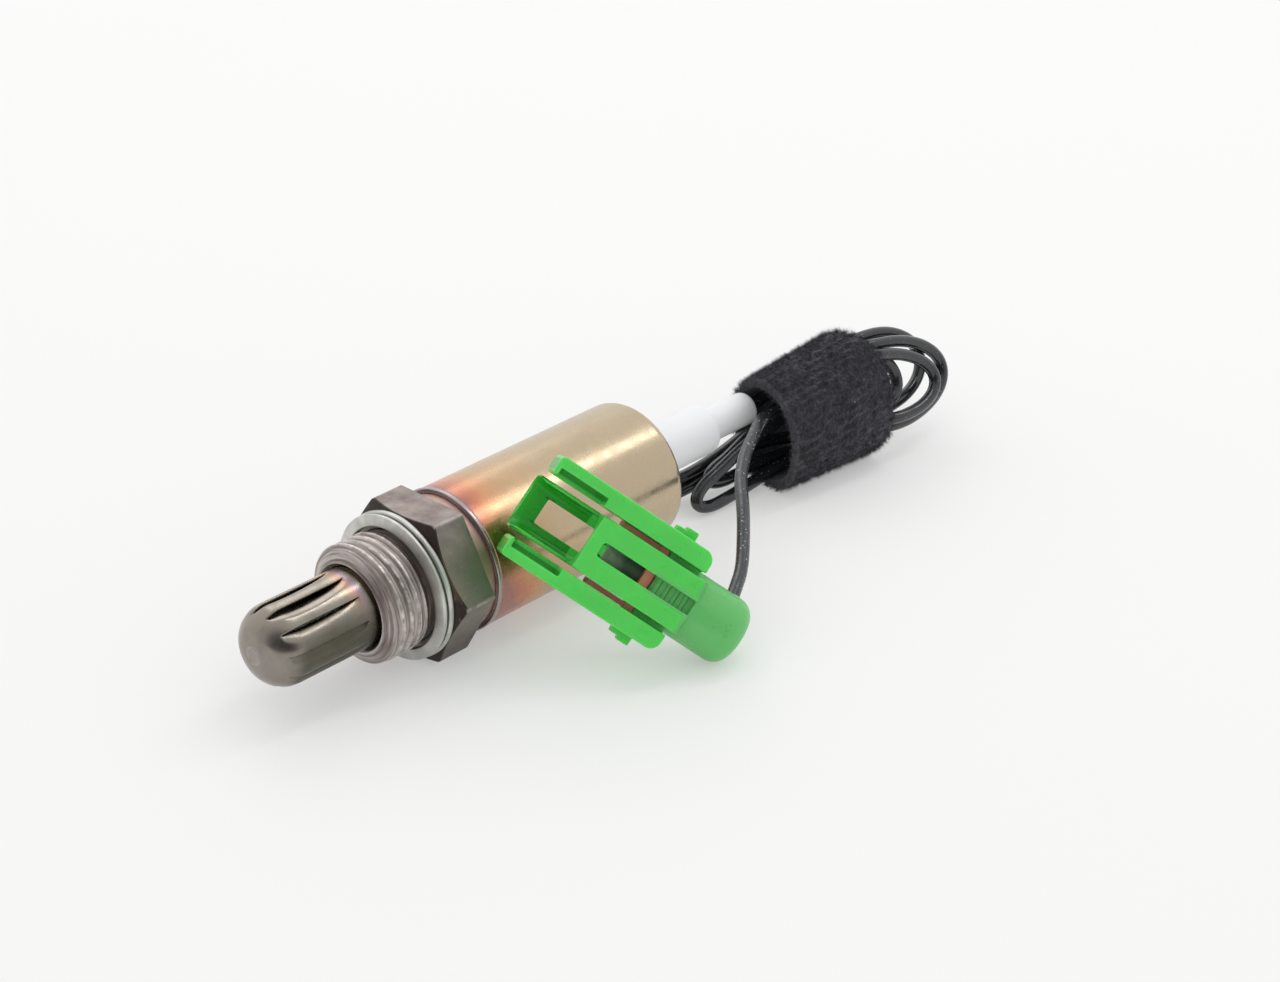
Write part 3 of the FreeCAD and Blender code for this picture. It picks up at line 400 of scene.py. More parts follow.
def noise(tree, coordinate, scale, detail=4.0, stretch=(1.0, 1.0, 1.0), roughness=0.55):
    """Noise on object coordinates, its scale per metre, stretched along the axes."""
    placed = node(tree, "ShaderNodeMapping", {"Vector": coordinate, "Scale": stretch})
    made = node(tree, "ShaderNodeTexNoise", {
        "Vector": placed.outputs[0], "Scale": scale, "Detail": detail, "Roughness": roughness})
    return made.outputs["Fac"]


def clouded(tree, place, scale, detail, low, high, **settings):
    """Noise carried to grey between two stops, each (place, value)."""
    return ramp(tree, noise(tree, place, scale, detail, **settings), grey_stops(low, high))


def new_material(name, constants=None):
    """Material with a principled shader and its constant inputs; returns it with its tree, shader and
    object coordinates."""
    material = bpy.data.materials.new(name + FINISH)
    material.use_nodes = True
    tree = material.node_tree
    tree.nodes.clear()
    shader = node(tree, "ShaderNodeBsdfPrincipled", constants)
    node(tree, "ShaderNodeOutputMaterial", {"Surface": shader.outputs[0]})
    place = node(tree, "ShaderNodeTexCoord").outputs["Object"]
    return material, tree, shader, place


def bump(tree, height, distance, strength=1.0, normal=None):
    """Normal of a fine relief, laid over another one where that is given."""
    inputs = {"Height": height, "Distance": distance, "Strength": strength}
    if normal is not None:
        inputs["Normal"] = normal
    return node(tree, "ShaderNodeBump", inputs).outputs[0]


def feed(tree, shader, colour, rough, normal=None):
    """Links the finished colour, roughness and relief to the shader."""
    links = {"Base Color": colour, "Roughness": rough, "Normal": normal}
    for key, socket in links.items():
        if socket is not None:
            tree.links.new(socket, shader.inputs[key])


def split(tree, place):
    """The three object coordinates, in metres."""
    return node(tree, "ShaderNodeSeparateXYZ", {"Vector": place}).outputs


def around_axis(tree, place):
    """Distance from the sensor's axis, in metres."""
    parts = split(tree, place)
    square = total(tree, product(tree, parts[1], parts[1]), product(tree, parts[2], parts[2]))
    return maths(tree, "SQRT", square)


def housing_steel():
    """Brown-grey heat-tinted steel with turning lines, worn pale on crests and edges; the nut has painted
    shade on its near and lower flats, and its chamfer is a dark brown oxide with painted shade over it.
    """
    material, tree, shader, place = new_material("housing_steel", {"Metallic": 1.0})
    reach = around_axis(tree, place)
    along, across, upward = split(tree, place)
    on_nut = above(tree, along, HEX_FRONT * MM)
    on_thread = below(tree, along, HEX_FRONT * MM)
    on_neck = above(tree, along, (HEX_BACK + 0.02) * MM)
    # Painted shade: the nut's flats on the near side, across below -7.5 mm, are dulled to a darker grey.
    near_side_shade = mapped(tree, across, -0.0075, -0.0095, 0.0, 0.85)
    # Painted shade: the nut darkens toward its lower flats.
    under = mapped(tree, upward, -0.003, -0.008, 0.0, 0.75)
    # The chamfer's cone is a dark brown oxide, and the same colour paints the shade in the gap by the gasket.
    cone = product(tree, less(tree, reach, HEX_HALF * MM), math.tan(HEX_CHAMFER))
    chamfer_oxide_and_shade = mapped(tree, less(tree, along, HEX_FRONT * MM, cone), 0.00026, 0.00034, 0.93, 0.0)
    beyond = above(tree, reach, (HEX_HALF - 0.08) * MM)
    corner = mapped(tree, reach, 0.01245, 0.01266, 0.0, 0.7)
    chips = clouded(tree, place, 800.0, 5.0, (0.4, 0.1), (0.6, 1.0))
    scratches = clouded(tree, place, 700.0, 3.0, (0.68, 0.0), (0.71, 0.6), stretch=(1.0, 9.0, 0.5))
    colour = ramp(tree, noise(tree, place, 260.0, 5.0), tones(
        (0.30, 128, 116, 112), (0.50, 150, 140, 136), (0.72, 172, 162, 157)))
    colour = layered(
        tree, colour,
        (product(tree, near_side_shade, on_nut), (138, 132, 125)),
        (product(tree, under, on_nut), (98, 90, 84)),
        (product(tree, chamfer_oxide_and_shade, on_nut, beyond), (58, 49, 46)),
        (product(tree, on_neck, 0.8), (206, 172, 160)),
        (product(tree, corner, chips), (206, 198, 192)),
        (product(tree, scratches, on_nut), (196, 190, 184)))
    streaks = noise(tree, place, 330.0, 6.0, stretch=(12.0, 0.3, 0.3), roughness=0.65)
    tone = ramp(tree, streaks, tones(
        (0.34, 98, 86, 81), (0.46, 152, 141, 136), (0.56, 194, 185, 181), (0.70, 228, 221, 217)))
    colour = blended(tree, product(tree, on_thread, 0.75), colour, tone)
    crest = mapped(tree, reach, (THREAD_RADIUS - 0.30) * MM, (THREAD_RADIUS - 0.02) * MM)
    patchy = clouded(tree, place, 900.0, 6.0, (0.34, 0.0), (0.64, 0.95))
    pink = clouded(tree, place, 120.0, 3.0, (0.52, 0.0), (0.75, 0.4))
    colour = layered(
        tree, colour,
        (product(tree, crest, on_thread, patchy), (224, 217, 213)),
        (pink, (176, 146, 128)))
    lines = noise(tree, place, 600.0, 5.0, stretch=(14.0, 0.2, 0.2))
    normal = bump(tree, lines, 0.00012, mapped(tree, on_thread, 0.0, 1.0, 0.15, 0.6))
    normal = bump(tree, noise(tree, place, 5200.0, 4.0), 0.00003, 0.3, normal)
    rough = clouded(tree, place, 700.0, 5.0, (0.3, 0.30), (0.7, 0.46))
    feed(tree, shader, colour, total(tree, rough, product(tree, on_nut, 0.14)), normal)
    return material


def gasket_steel():
    """Plated steel ring: pale grey with soft smears and fine turning lines."""
    material, tree, shader, place = new_material("gasket_steel", {"Metallic": 1.0})
    colour = ramp(tree, noise(tree, place, 300.0, 5.0), tones((0.3, 180, 180, 175), (0.7, 218, 217, 212)))
    rings = node(tree, "ShaderNodeTexNoise", {
        "W": product(tree, around_axis(tree, place), 9000.0), "Scale": 1.0, "Detail": 4.0},
        noise_dimensions="1D")
    normal = bump(tree, rings.outputs["Fac"], 0.00003, 0.5)
    feed(tree, shader, colour, clouded(tree, place, 800.0, 5.0, (0.3, 0.36), (0.7, 0.52)), normal)
    return material


def tube_steel():
    """Dark bright-drawn stainless steel, lighter toward its top as painted light, with a straw and violet
    heat tint toward its root that shows on the upper side only, as a painted highlight there.
    """
    material, tree, shader, place = new_material("tube_steel", {"Metallic": 1.0})
    parts = split(tree, place)
    cloud = noise(tree, place, 190.0, 4.0)
    # Painted light: the tube is lighter toward its top and darker low down; the dome is held pale all round.
    level = mapped(tree, parts[2], 0.0005, 0.0042, 0.12, 0.88)
    tip = mapped(tree, parts[0], -0.0200, -0.0228, 0.0, 0.9)
    shade = blended(tree, tip, level, (0.95, 0.95, 0.95, 1.0))
    shade = total(tree, shade, product(tree, less(tree, cloud, 0.5), 0.5))
    colour = ramp(tree, shade, tones(
        (0.0, 86, 83, 72), (0.35, 106, 101, 90), (0.6, 132, 127, 118), (1.0, 152, 144, 136)))
    disc = below(tree, parts[0], (TUBE_TIP + 0.5) * MM)
    ring = ramp(tree, product(tree, around_axis(tree, place), 500.0), grey_stops(
        (0.40, 0.25), (0.50, 0.25), (0.60, 0.7), (0.68, 0.7), (0.74, 0.0)))
    colour = layered(tree, colour, (product(tree, ring, disc), (166, 162, 158)))
    heat = mapped(tree, parts[0], -0.0135, -0.0072)
    tint = ramp(tree, total(tree, heat, product(tree, cloud, 0.25)), tones(
        (0.35, 160, 152, 140), (0.62, 196, 172, 142), (0.80, 206, 150, 134),
        (0.90, 158, 138, 172), (1.0, 160, 150, 124)))
    # The heat tint is laid on the upper side only, where it also paints the highlight near the root.
    colour = blended(tree, mapped(tree, parts[2], 0.0022, 0.005, 0.0, 0.6), colour, tint)
    soot = clouded(tree, place, 420.0, 6.0, (0.5, 0.0), (0.8, 0.35))
    colour = layered(tree, colour, (soot, (92, 84, 76)))
    normal = bump(tree, noise(tree, place, 500.0, 4.0, stretch=(0.25, 5.0, 5.0)), 0.00003, 0.10)
    feed(tree, shader, colour, clouded(tree, place, 600.0, 5.0, (0.3, 0.18), (0.7, 0.32)), normal)
    return material


def sleeve_steel():
    """Satin drawn steel, tinted purple and orange by heat at the front and straw along the rest."""
    material, tree, shader, place = new_material("sleeve_steel", {"Metallic": 1.0})
    parts = split(tree, place)
    cloud = noise(tree, place, 110.0, 4.0)
    along = mapped(tree, parts[0], SLEEVE_FRONT * MM, SLEEVE_BACK * MM)
    lower = mapped(tree, parts[2], -0.011, 0.006, -0.16, 0.0)
    heat = total(tree, along, lower, product(tree, less(tree, cloud, 0.5), 0.22))
    colour = ramp(tree, heat, tones(
        (0.0, 176, 124, 118), (0.04, 206, 136, 110), (0.10, 214, 156, 118),
        (0.20, 204, 170, 134), (0.4, 197, 177, 146), (1.0, 194, 178, 152)))
    rim = below(tree, parts[0], (SLEEVE_FRONT + SLEEVE_RIM_LENGTH) * MM)
    smear = clouded(tree, place, 230.0, 6.0, (0.45, 0.0), (0.75, 0.25), stretch=(0.5, 1.0, 1.0))
    colour = layered(tree, colour, (smear, (180, 164, 138)), (product(tree, rim, 0.85), (172, 170, 172)))
    normal = bump(tree, noise(tree, place, 420.0, 5.0, stretch=(0.08, 4.0, 4.0)), 0.00005, 0.22)
    normal = bump(tree, noise(tree, place, 3800.0, 3.0), 0.00001, 0.10, normal)
    feed(tree, shader, colour, clouded(tree, place, 500.0, 6.0, (0.3, 0.21), (0.7, 0.32)), normal)
    return material


def boot_white(colours):
    """Smooth white fluoropolymer, faintly waxy."""
    material, tree, shader, place = new_material("boot_white", {
        "Subsurface Weight": 0.25, "Subsurface Radius": (0.002, 0.002, 0.0022), "Subsurface Scale": 1.0})
    colour = blended(tree, noise(tree, place, 180.0, 3.0), opaque(colours.boot), opaque(colours.boot, 0.96))
    normal = bump(tree, noise(tree, place, 1500.0, 3.0), 0.00002, 0.25)
    feed(tree, shader, colour, clouded(tree, place, 900.0, 4.0, (0.3, 0.34), (0.7, 0.48)), normal)
    return material


def lead_jacket(colours):
    """Glossy black jacket in the bundle, dull with dust and pale specks toward the connector."""
    material, tree, shader, place = new_material("lead_jacket", {"Specular IOR Level": 0.75})
    parts = split(tree, place)
    near = mapped(tree, parts[0], 0.074, 0.070)
    front = mapped(tree, parts[1], -0.0062, -0.0075)
    tail = product(tree, near, front)
    dust = product(tree, tail, clouded(tree, place, 700.0, 6.0, (0.35, 0.25), (0.7, 1.0)))
    grain = node(tree, "ShaderNodeTexNoise", {"Vector": place, "Scale": 2600.0, "Detail": 2.0})
    specks = ramp(tree, grain.outputs["Fac"], grey_stops((0.66, 0.0), (0.72, 1.0)))
    shown = total(tree, product(tree, tail, 0.75), 0.2)
    colour = layered(
        tree, opaque(colours.jacket),
        (dust, (29, 32, 37)),
        (product(tree, specks, shown), (205, 208, 212)))
    normal = bump(tree, noise(tree, place, 1800.0, 4.0), 0.00004, 0.25)
    feed(tree, shader, colour, mapped(tree, dust, 0.0, 1.0, 0.13, 0.36), normal)
    return material


def strap_fabric(colours):
    """Black napped hook-and-loop fabric: knitted rows under tangled loops, with pale lint."""
    material, tree, shader, place = new_material("strap_fabric", {
        "Sheen Weight": 0.35, "Sheen Roughness": 0.5, "Sheen Tint": (0.75, 0.75, 0.8, 1.0),
        "Roughness": 0.9, "Specular IOR Level": 0.2})
    tangle = noise(tree, place, 2300.0, 6.0, roughness=0.7)
    lint = node(tree, "ShaderNodeTexNoise", {"Vector": place, "Scale": 1900.0, "Detail": 1.0})
    parts = split(tree, place)
    slant = product(tree, less(tree, parts[1], STRAP_NEAR_SIDE * MM), STRAP_SLOPE)
    from_mouth = less(tree, parts[0], STRAP_MOUTH * MM, slant)
    seam = ramp(tree, maths(tree, "MULTIPLY", from_mouth, 1000.0, clamp=True), grey_stops(
        (0.0, 0.55), (0.25, 0.55), (0.45, 0.0)))
    loops = ramp(tree, tangle, grey_stops((0.35, 0.0), (0.7, 1.0)))
    colour = blended(tree, loops, opaque(colours.strap), linear(70, 69, 76))
    pale = ramp(tree, lint.outputs["Fac"], grey_stops((0.74, 0.0), (0.78, 0.8)))
    colour = layered(tree, colour, (pale, (150, 150, 156)), (seam, (104, 102, 108)))
    knit = node(tree, "ShaderNodeTexVoronoi", {"Vector": place, "Scale": 1500.0, "Randomness": 0.85})
    normal = bump(tree, knit.outputs["Distance"], 0.0003, 0.7)
    feed(tree, shader, colour, None, bump(tree, tangle, 0.0003, 0.8, normal))
    return material


def connector_places(tree, place):
    """Coordinates in the connector's own frame, in metres."""
    start = np.array(CONNECTOR_ORIGIN) * MM
    places = []
    for axis in connector_axes().T:
        run = node(tree, "ShaderNodeVectorMath", {0: place, 1: tuple(axis)}, operation="DOT_PRODUCT")
        places.append(less(tree, run.outputs["Value"], float(start @ axis)))
    return places


def moulded_plastic(name, colour, weight, shine, radius, depth=0.0):
    """Moulded plastic that lets a little light through, with painted light as a paler, greyer green in its
    bulkier parts and painted shade as a darker green in its hollows, to the share given by depth.
    """
    material, tree, shader, place = new_material(name, {
        "Subsurface Weight": weight, "Subsurface Radius": radius, "Subsurface Scale": 1.0})
    flow = clouded(tree, place, 160.0, 4.0, (0.35, 0.0), (0.7, 1.0))
    shade = blended(tree, flow, opaque(colour), opaque(colour, 0.90))
    along, across, upward = connector_places(tree, place)
    side = maths(tree, "ABSOLUTE", across)
    # Painted light: the rear body below its top, the gap between the prongs and the hood take a paler, greyer
    # green, which lifts the shade there.
    low_or_between = maths(
        tree, "MAXIMUM", below(tree, upward, CORE_TOP * MM), below(tree, side, PRONG_GAP_HALF * MM))
    core = product(
        tree, above(tree, along, CORE_START * MM), below(tree, side, CORE_HALF * MM), low_or_between)
    rear = mapped(tree, along, HOOD_START * MM, HOOD_FULL * MM)
    bulk_painted_light = (1.25 * colour[0] + 0.01, 0.74 * colour[1] + 0.01, 1.25 * colour[2] + 0.01, 1.0)
    shade = blended(tree, maths(tree, "MAXIMUM", core, rear), shade, bulk_painted_light)
    # Painted shade: the socket's trough and the rails' grooves are darkened to a saturated green.
    in_trough = product(
        tree, below(tree, side, TROUGH_HALF * MM), above(tree, upward, -TROUGH_HALF * MM),
        below(tree, along, SOCKET_END * MM),
        mapped(tree, upward, TROUGH_FADE[0] * MM, TROUGH_FADE[1] * MM, 0.0, 0.85))
    in_groove = product(
        tree, above(tree, side, GROOVE_INNER * MM), below(tree, side, GROOVE_OUTER * MM),
        below(tree, upward, GROOVE_TOP * MM), below(tree, along, GROOVE_END * MM), 0.7)
    shaded_hollow = maths(tree, "MAXIMUM", in_trough, in_groove)
    hollow_shade = (0.04 * colour[0], 0.44 * colour[1], 0.04 * colour[2], 1.0)
    shade = blended(tree, product(tree, shaded_hollow, depth), shade, hollow_shade)
    feed(tree, shader, shade, clouded(tree, place, 500.0, 2.0, (0.3, shine), (0.7, shine + 0.14)))
    return material


def plain_metal(name, dark, bright, low_rough, high_rough, scale):
    """Metal of a small pressed or turned piece, clouded between two tones."""
    material, tree, shader, place = new_material(name, {"Metallic": 1.0})
    colour = ramp(tree, noise(tree, place, scale, 5.0), [(0.3, dark), (0.7, bright)])
    rough = clouded(tree, place, 3.0 * scale, 4.0, (0.3, low_rough), (0.7, high_rough))
    feed(tree, shader, colour, rough, bump(tree, noise(tree, place, 9.0 * scale, 3.0), 0.00002, 0.3))
    return material


def ceramic(name, dark, bright):
    """Unglazed ceramic with fine grain."""
    material, tree, shader, place = new_material(name)
    colour = ramp(tree, noise(tree, place, 400.0, 5.0), [(0.3, dark), (0.7, bright)])
    rough = clouded(tree, place, 900.0, 4.0, (0.3, 0.6), (0.7, 0.8))
    feed(tree, shader, colour, rough, bump(tree, noise(tree, place, 4000.0, 4.0), 0.00004, 0.4))
    return material


def terminal_metal():
    """Tinned receptacle, with painted light at its mouth and painted shade toward its shoulder."""
    material, tree, shader, place = new_material("terminal_metal", {"Metallic": 0.2})
    low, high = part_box("receptacle_terminal")
    # Painted light and shade: bright at the mouth, dark toward the shoulder.
    mouth = mapped(tree, split(tree, place)[1], low[1], high[1])
    shade = total(tree, mouth, product(tree, noise(tree, place, 700.0, 4.0), 0.2))
    colour = ramp(tree, shade, tones((0.50, 92, 102, 92), (0.72, 186, 188, 178), (0.95, 240, 238, 230)))
    feed(tree, shader, colour, clouded(tree, place, 1600.0, 4.0, (0.3, 0.45), (0.7, 0.6)))
    return material


def material_of(name, context):
    """The finish with this slot name, made once."""
    if name + FINISH in bpy.data.materials:
        return bpy.data.materials[name + FINISH]
    colours = context.scene.sensor_colours
    makers = {
        "housing_steel": housing_steel,
        "gasket_steel": gasket_steel,
        "tube_steel": tube_steel,
        "sleeve_steel": sleeve_steel,
        "boot_white": lambda: boot_white(colours),
        "lead_jacket": lambda: lead_jacket(colours),
        "strap_fabric": lambda: strap_fabric(colours),
        "connector_green": lambda: moulded_plastic(
            "connector_green", colours.connector, 0.35, 0.24, (0.0006, 0.0022, 0.0007), 1.0),
        "clip_brown": lambda: moulded_plastic(
            "clip_brown", colours.clip, 0.2, 0.4, (0.0016, 0.0008, 0.0005)),
        "terminal_metal": terminal_metal,
        "contact_metal": lambda: plain_metal(
            "contact_metal", linear(150, 146, 138), linear(200, 196, 188), 0.25, 0.42, 500.0),
        "element_ceramic": lambda: ceramic("element_ceramic", linear(214, 208, 196), linear(236, 231, 220)),
        "support_ceramic": lambda: ceramic("support_ceramic", linear(208, 204, 198), linear(228, 225, 220)),
    }
    return makers[name]()


def grid_faces(rows, columns, close_rows, close_columns):
    """Quads between neighbouring points of a grid, joined round where it closes."""
    row = np.arange(rows if close_rows else rows - 1)
    column = np.arange(columns if close_columns else columns - 1)
    i, j = np.meshgrid(row, column, indexing="ij")
    after_i = (i + 1) % rows
    after_j = (j + 1) % columns
    here, there = i * columns, after_i * columns
    return np.stack([here + j, here + after_j, there + after_j, there + j], -1).reshape(-1, 4)


def mesh_piece(name, surface, context, slot, sharp, closed=True):
    """Object from a surface's points, in millimetres, and its faces."""
    points, faces = surface
    mesh = bpy.data.meshes.new(name)
    mesh.from_pydata(np.asarray(points, float).reshape(-1, 3) * MM, [], np.asarray(faces))
    return finish_mesh(name, mesh, context, slot, sharp, closed)


def finish_mesh(name, mesh, context, slot, sharp, closed=True):
    """Object from a mesh: doubles merged, faces outward, smooth but for edges sharper than the angle."""
    work = bmesh.new()
    work.from_mesh(mesh)
    bmesh.ops.remove_doubles(work, verts=work.verts, dist=2e-6)
    if closed:
        bmesh.ops.recalc_face_normals(work, faces=work.faces)
    work.to_mesh(mesh)
    work.free()
    mesh.polygons.foreach_set("use_smooth", np.ones(len(mesh.polygons), bool))
    mesh.set_sharp_from_angle(angle=math.radians(sharp))
    mesh.update()
    piece = bpy.data.objects.new(name, mesh)
    context.scene.collection.objects.link(piece)
    mesh.materials.append(material_of(slot, context))
    return piece


def dress(piece, slot, *nodes):
    """Puts a piece on the body in place of its construction solids."""
    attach(piece, BODY)
    if nodes:
        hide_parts(*nodes)


def rounded(corners, steps=5):
    """Closed outline from corners (x, radius, fillet): a filleted corner is an arc tangent to its sides,
    with points centre + (sin((1 - s) a) start + sin(s a) end) / sin a for its angle a and s from 0 to 1."""
    spots = np.array([corner[:2] for corner in corners], float)
    outline = []
    for number, corner in enumerate(corners):
        spot = spots[number]
        fillet = corner[2]
        if fillet <= 0.0:
            outline.append(spot[None, :])
            continue
        before = spots[number - 1] - spot
        after = spots[(number + 1) % len(corners)] - spot
        before = before / np.linalg.norm(before)
        after = after / np.linalg.norm(after)
        half = 0.5 * math.acos(float(np.clip(before @ after, -1.0, 1.0)))
        middle = (before + after) / np.linalg.norm(before + after)
        centre = spot + middle * fillet / math.sin(half)
        start = spot + before * fillet / math.tan(half) - centre
        end = spot + after * fillet / math.tan(half) - centre
        sweep = math.pi - 2.0 * half
        share = np.linspace(0.0, 1.0, steps)[:, None]
        arc = (np.sin((1.0 - share) * sweep) * start + np.sin(share * sweep) * end) / math.sin(sweep)
        outline.append(centre + arc)
    return np.concatenate(outline)


def turned(outline, columns, centre_z=0.0):
    """Closed surface about X: each outline point (x, r) goes round as (x, r cos a, z + r sin a)."""
    angle = np.linspace(0.0, FULL_TURN, columns, endpoint=False)
    x = np.repeat(outline[:, :1], columns, axis=1)
    radius = outline[:, 1:2]
    height = np.broadcast_to(np.asarray(centre_z, float).reshape(-1, 1), (len(outline), 1))
    points = np.stack([x, radius * np.cos(angle), height + radius * np.sin(angle)], axis=-1)
    return points, grid_faces(len(outline), columns, True, True)


def hexagon_angles(per_side):
    """Angles round the hexagon, crowded toward its corners: t - k sin(2 pi t) / 2 pi in each sixth."""
    crowding = 0.86
    share = np.arange(per_side) / per_side
    warped = share - crowding * np.sin(FULL_TURN * share) / FULL_TURN
    sector = np.arange(6)[:, None]
    return ((sector + warped[None, :]) * FULL_TURN / 6.0).ravel()


def hexagon_radius(angle):
    """Distance to a hexagon with flats at top and bottom and eased corners: its half size over
    (sum of cos(a - side)^n)^(1/n) for the sides that face the angle."""
    power = 90.0
    normals = (np.arange(6) + 0.5) * FULL_TURN / 6.0
    side = np.clip(np.cos(angle[:, None] - normals[None, :]), 0.0, None)
    return HEX_HALF / (side ** power).sum(axis=1) ** (1.0 / power)


def thread_radius(x, angle, pitch, depth):
    """Worn right-hand thread: a trapezoid wave of x / pitch - angle / turn, eased at crest and root,
    that rises from the nose and runs out before the gasket."""
    phase = (x / pitch - angle / FULL_TURN) % 1.0
    wave = np.abs(phase - 0.5) * 2.0
    wave = np.clip((wave - CREST_SHARE) / FLANK_SHARE, 0.0, 1.0)
    wave = wave * wave * (3.0 - 2.0 * wave)
    wear = 0.06 * np.sin(5.0 * angle + 1.3 * x) + 0.05 * np.sin(11.0 * angle - 2.1 * x)
    radius = THREAD_RADIUS - depth * (1.0 - wave * (1.0 - 0.35 * np.abs(wear)))
    runout = np.clip((x + THREAD_RUNOUT) / THREAD_RUNOUT, 0.0, 1.0)
    return radius * (1.0 - runout) + (NECK_RADIUS - 0.1) * runout


def threaded_housing(context):
    """Radius as a function of (x, angle), in strips along the housing: the nose's cone and the thread's
    helix joined by a soft minimum, the hexagon behind its chamfer's cone, the neck and the stepped bore."""
    sizes = context.scene.sensor_sizes
    angle = hexagon_angles(44)
    ones = np.ones((1, len(angle)))
    strips = []

    def strip(*grids):
        """Adds rows of stations and radii, a plain list of them held all round."""
        grids = [np.asarray(grid, float) for grid in grids]
        strips.append([grid.reshape(-1, 1) * ones if grid.ndim == 1 else grid for grid in grids])

    strip([FLANGE_SEAT_FRONT, NOSE_END + NOSE_MOUTH_DEPTH, NOSE_END + 0.08, NOSE_END],
          [NOSE_BORE, NOSE_BORE, NOSE_MOUTH - 0.02, NOSE_MOUTH + 0.08])
    x = np.linspace(NOSE_END + 0.02, -0.02, 110)
    slope = (THREAD_RADIUS - NOSE_MOUTH - 0.1) / (THREAD_START - NOSE_END)
    nose = NOSE_MOUTH + 0.1 + (x - NOSE_END) * slope
    thread = thread_radius(x[:, None], angle[None, :], sizes.thread_pitch / MM, sizes.thread_depth / MM)
    softness = 0.12
    cone = nose[:, None] * ones
    eased = -softness * np.logaddexp(-cone / softness, -thread / softness)
    strip(x[:, None] * ones, eased)
    strip([0.0, HEX_FRONT - 0.05, HEX_FRONT, HEX_FRONT],
          [NECK_RADIUS, NECK_RADIUS, NECK_RADIUS + 0.05, HEX_HALF - 0.06])
    reach = hexagon_radius(angle)[None, :]
    share = np.linspace(0.0, 1.0, 9)[:, None]
    rise = HEX_HALF + (reach - HEX_HALF) * share
    strip(HEX_FRONT + 0.02 + (rise - HEX_HALF) * math.tan(HEX_CHAMFER), rise)
    chamfer_end = HEX_FRONT + 0.02 + (reach - HEX_HALF) * math.tan(HEX_CHAMFER)
    share = np.linspace(0.02, 1.0, 12)[:, None]
    strip(chamfer_end + (HEX_BACK - HEX_EASE - chamfer_end) * share, reach * np.ones_like(share))
    strip(np.array([HEX_BACK - 0.03, HEX_BACK])[:, None] * ones, reach - np.array([0.03, HEX_EASE])[:, None])
    strip([HEX_BACK, SLEEVE_NECK_END - 0.2, SLEEVE_NECK_END, SLEEVE_NECK_END, SEAT_END, SEAT_START,
           FLANGE_SEAT_BACK, FLANGE_SEAT_BACK, FLANGE_SEAT_FRONT],
          [SLEEVE_NECK_RADIUS, SLEEVE_NECK_RADIUS, SLEEVE_NECK_RADIUS - 0.2, REAR_BORE, REAR_BORE, FRONT_BORE,
           FRONT_BORE, FLANGE_SEAT_RADIUS, FLANGE_SEAT_RADIUS])
    x, radius = (np.concatenate(parts) for parts in zip(*strips))
    points = np.stack([x, radius * np.cos(angle), radius * np.sin(angle)], axis=-1)
    return points, grid_faces(len(x), len(angle), True, True)


def folded_gasket():
    """Turned ring: two flat layers joined at the bore, with the groove between them open outward."""
    return turned(rounded([
        (0.0, GASKET_FRONT_BORE, 0.25), (0.26, GASKET_FRONT_RADIUS, 0.22),
        (GASKET_LAYER_FRONT, GASKET_FRONT_RADIUS, 0.3), (GASKET_LAYER_FRONT + 0.05, GASKET_FOLD_RADIUS, 0.06),
        (GASKET_LAYER_BACK - 0.05, GASKET_FOLD_RADIUS, 0.06), (GASKET_LAYER_BACK, GASKET_BACK_RADIUS, 0.3),
        (GASKET_BACK, GASKET_BACK_RADIUS, 0.3), (GASKET_BACK, GASKET_BACK_BORE, 0.15),
        (GASKET_LAYER_BACK, GASKET_BACK_BORE, 0.1), (GASKET_LAYER_FRONT, GASKET_FRONT_BORE, 0.1)]), 200)


def tube_outline():
    """Stations along the tube, from the tip's centre to the base flange: dimple, dome as the quarter arc
    (x - r cos a, y + r sin a), straight wall and flange."""
    dome_x = TUBE_TIP + TUBE_DOME
    dome_r = TUBE_RADIUS - TUBE_DOME
    floor_x = TUBE_TIP + DIMPLE_DEPTH
    disc = [(floor_x, 0.0), (floor_x, 0.6), (floor_x, DIMPLE_RADIUS - 0.1),
            (TUBE_TIP + 0.3 * DIMPLE_DEPTH, DIMPLE_RADIUS), (TUBE_TIP, DIMPLE_RADIUS + 0.12)]
    turn = np.linspace(0.0, math.pi / 2.0, 34)
    dome = np.stack([dome_x - TUBE_DOME * np.cos(turn), dome_r + TUBE_DOME * np.sin(turn)], axis=-1)
    wall = np.linspace(dome_x, FLANGE_SEAT_FRONT - 0.3, 90)[1:]
    wall = np.stack([wall, np.full_like(wall, TUBE_RADIUS)], axis=-1)
    flange = [(FLANGE_SEAT_FRONT - 0.05, TUBE_RADIUS + 0.08), (FLANGE_SEAT_FRONT + 0.02, TUBE_RADIUS + 0.3),
              (FLANGE_SEAT_FRONT + 0.02, TUBE_FLANGE)]
    return np.concatenate([disc, dome[1:], wall, flange])


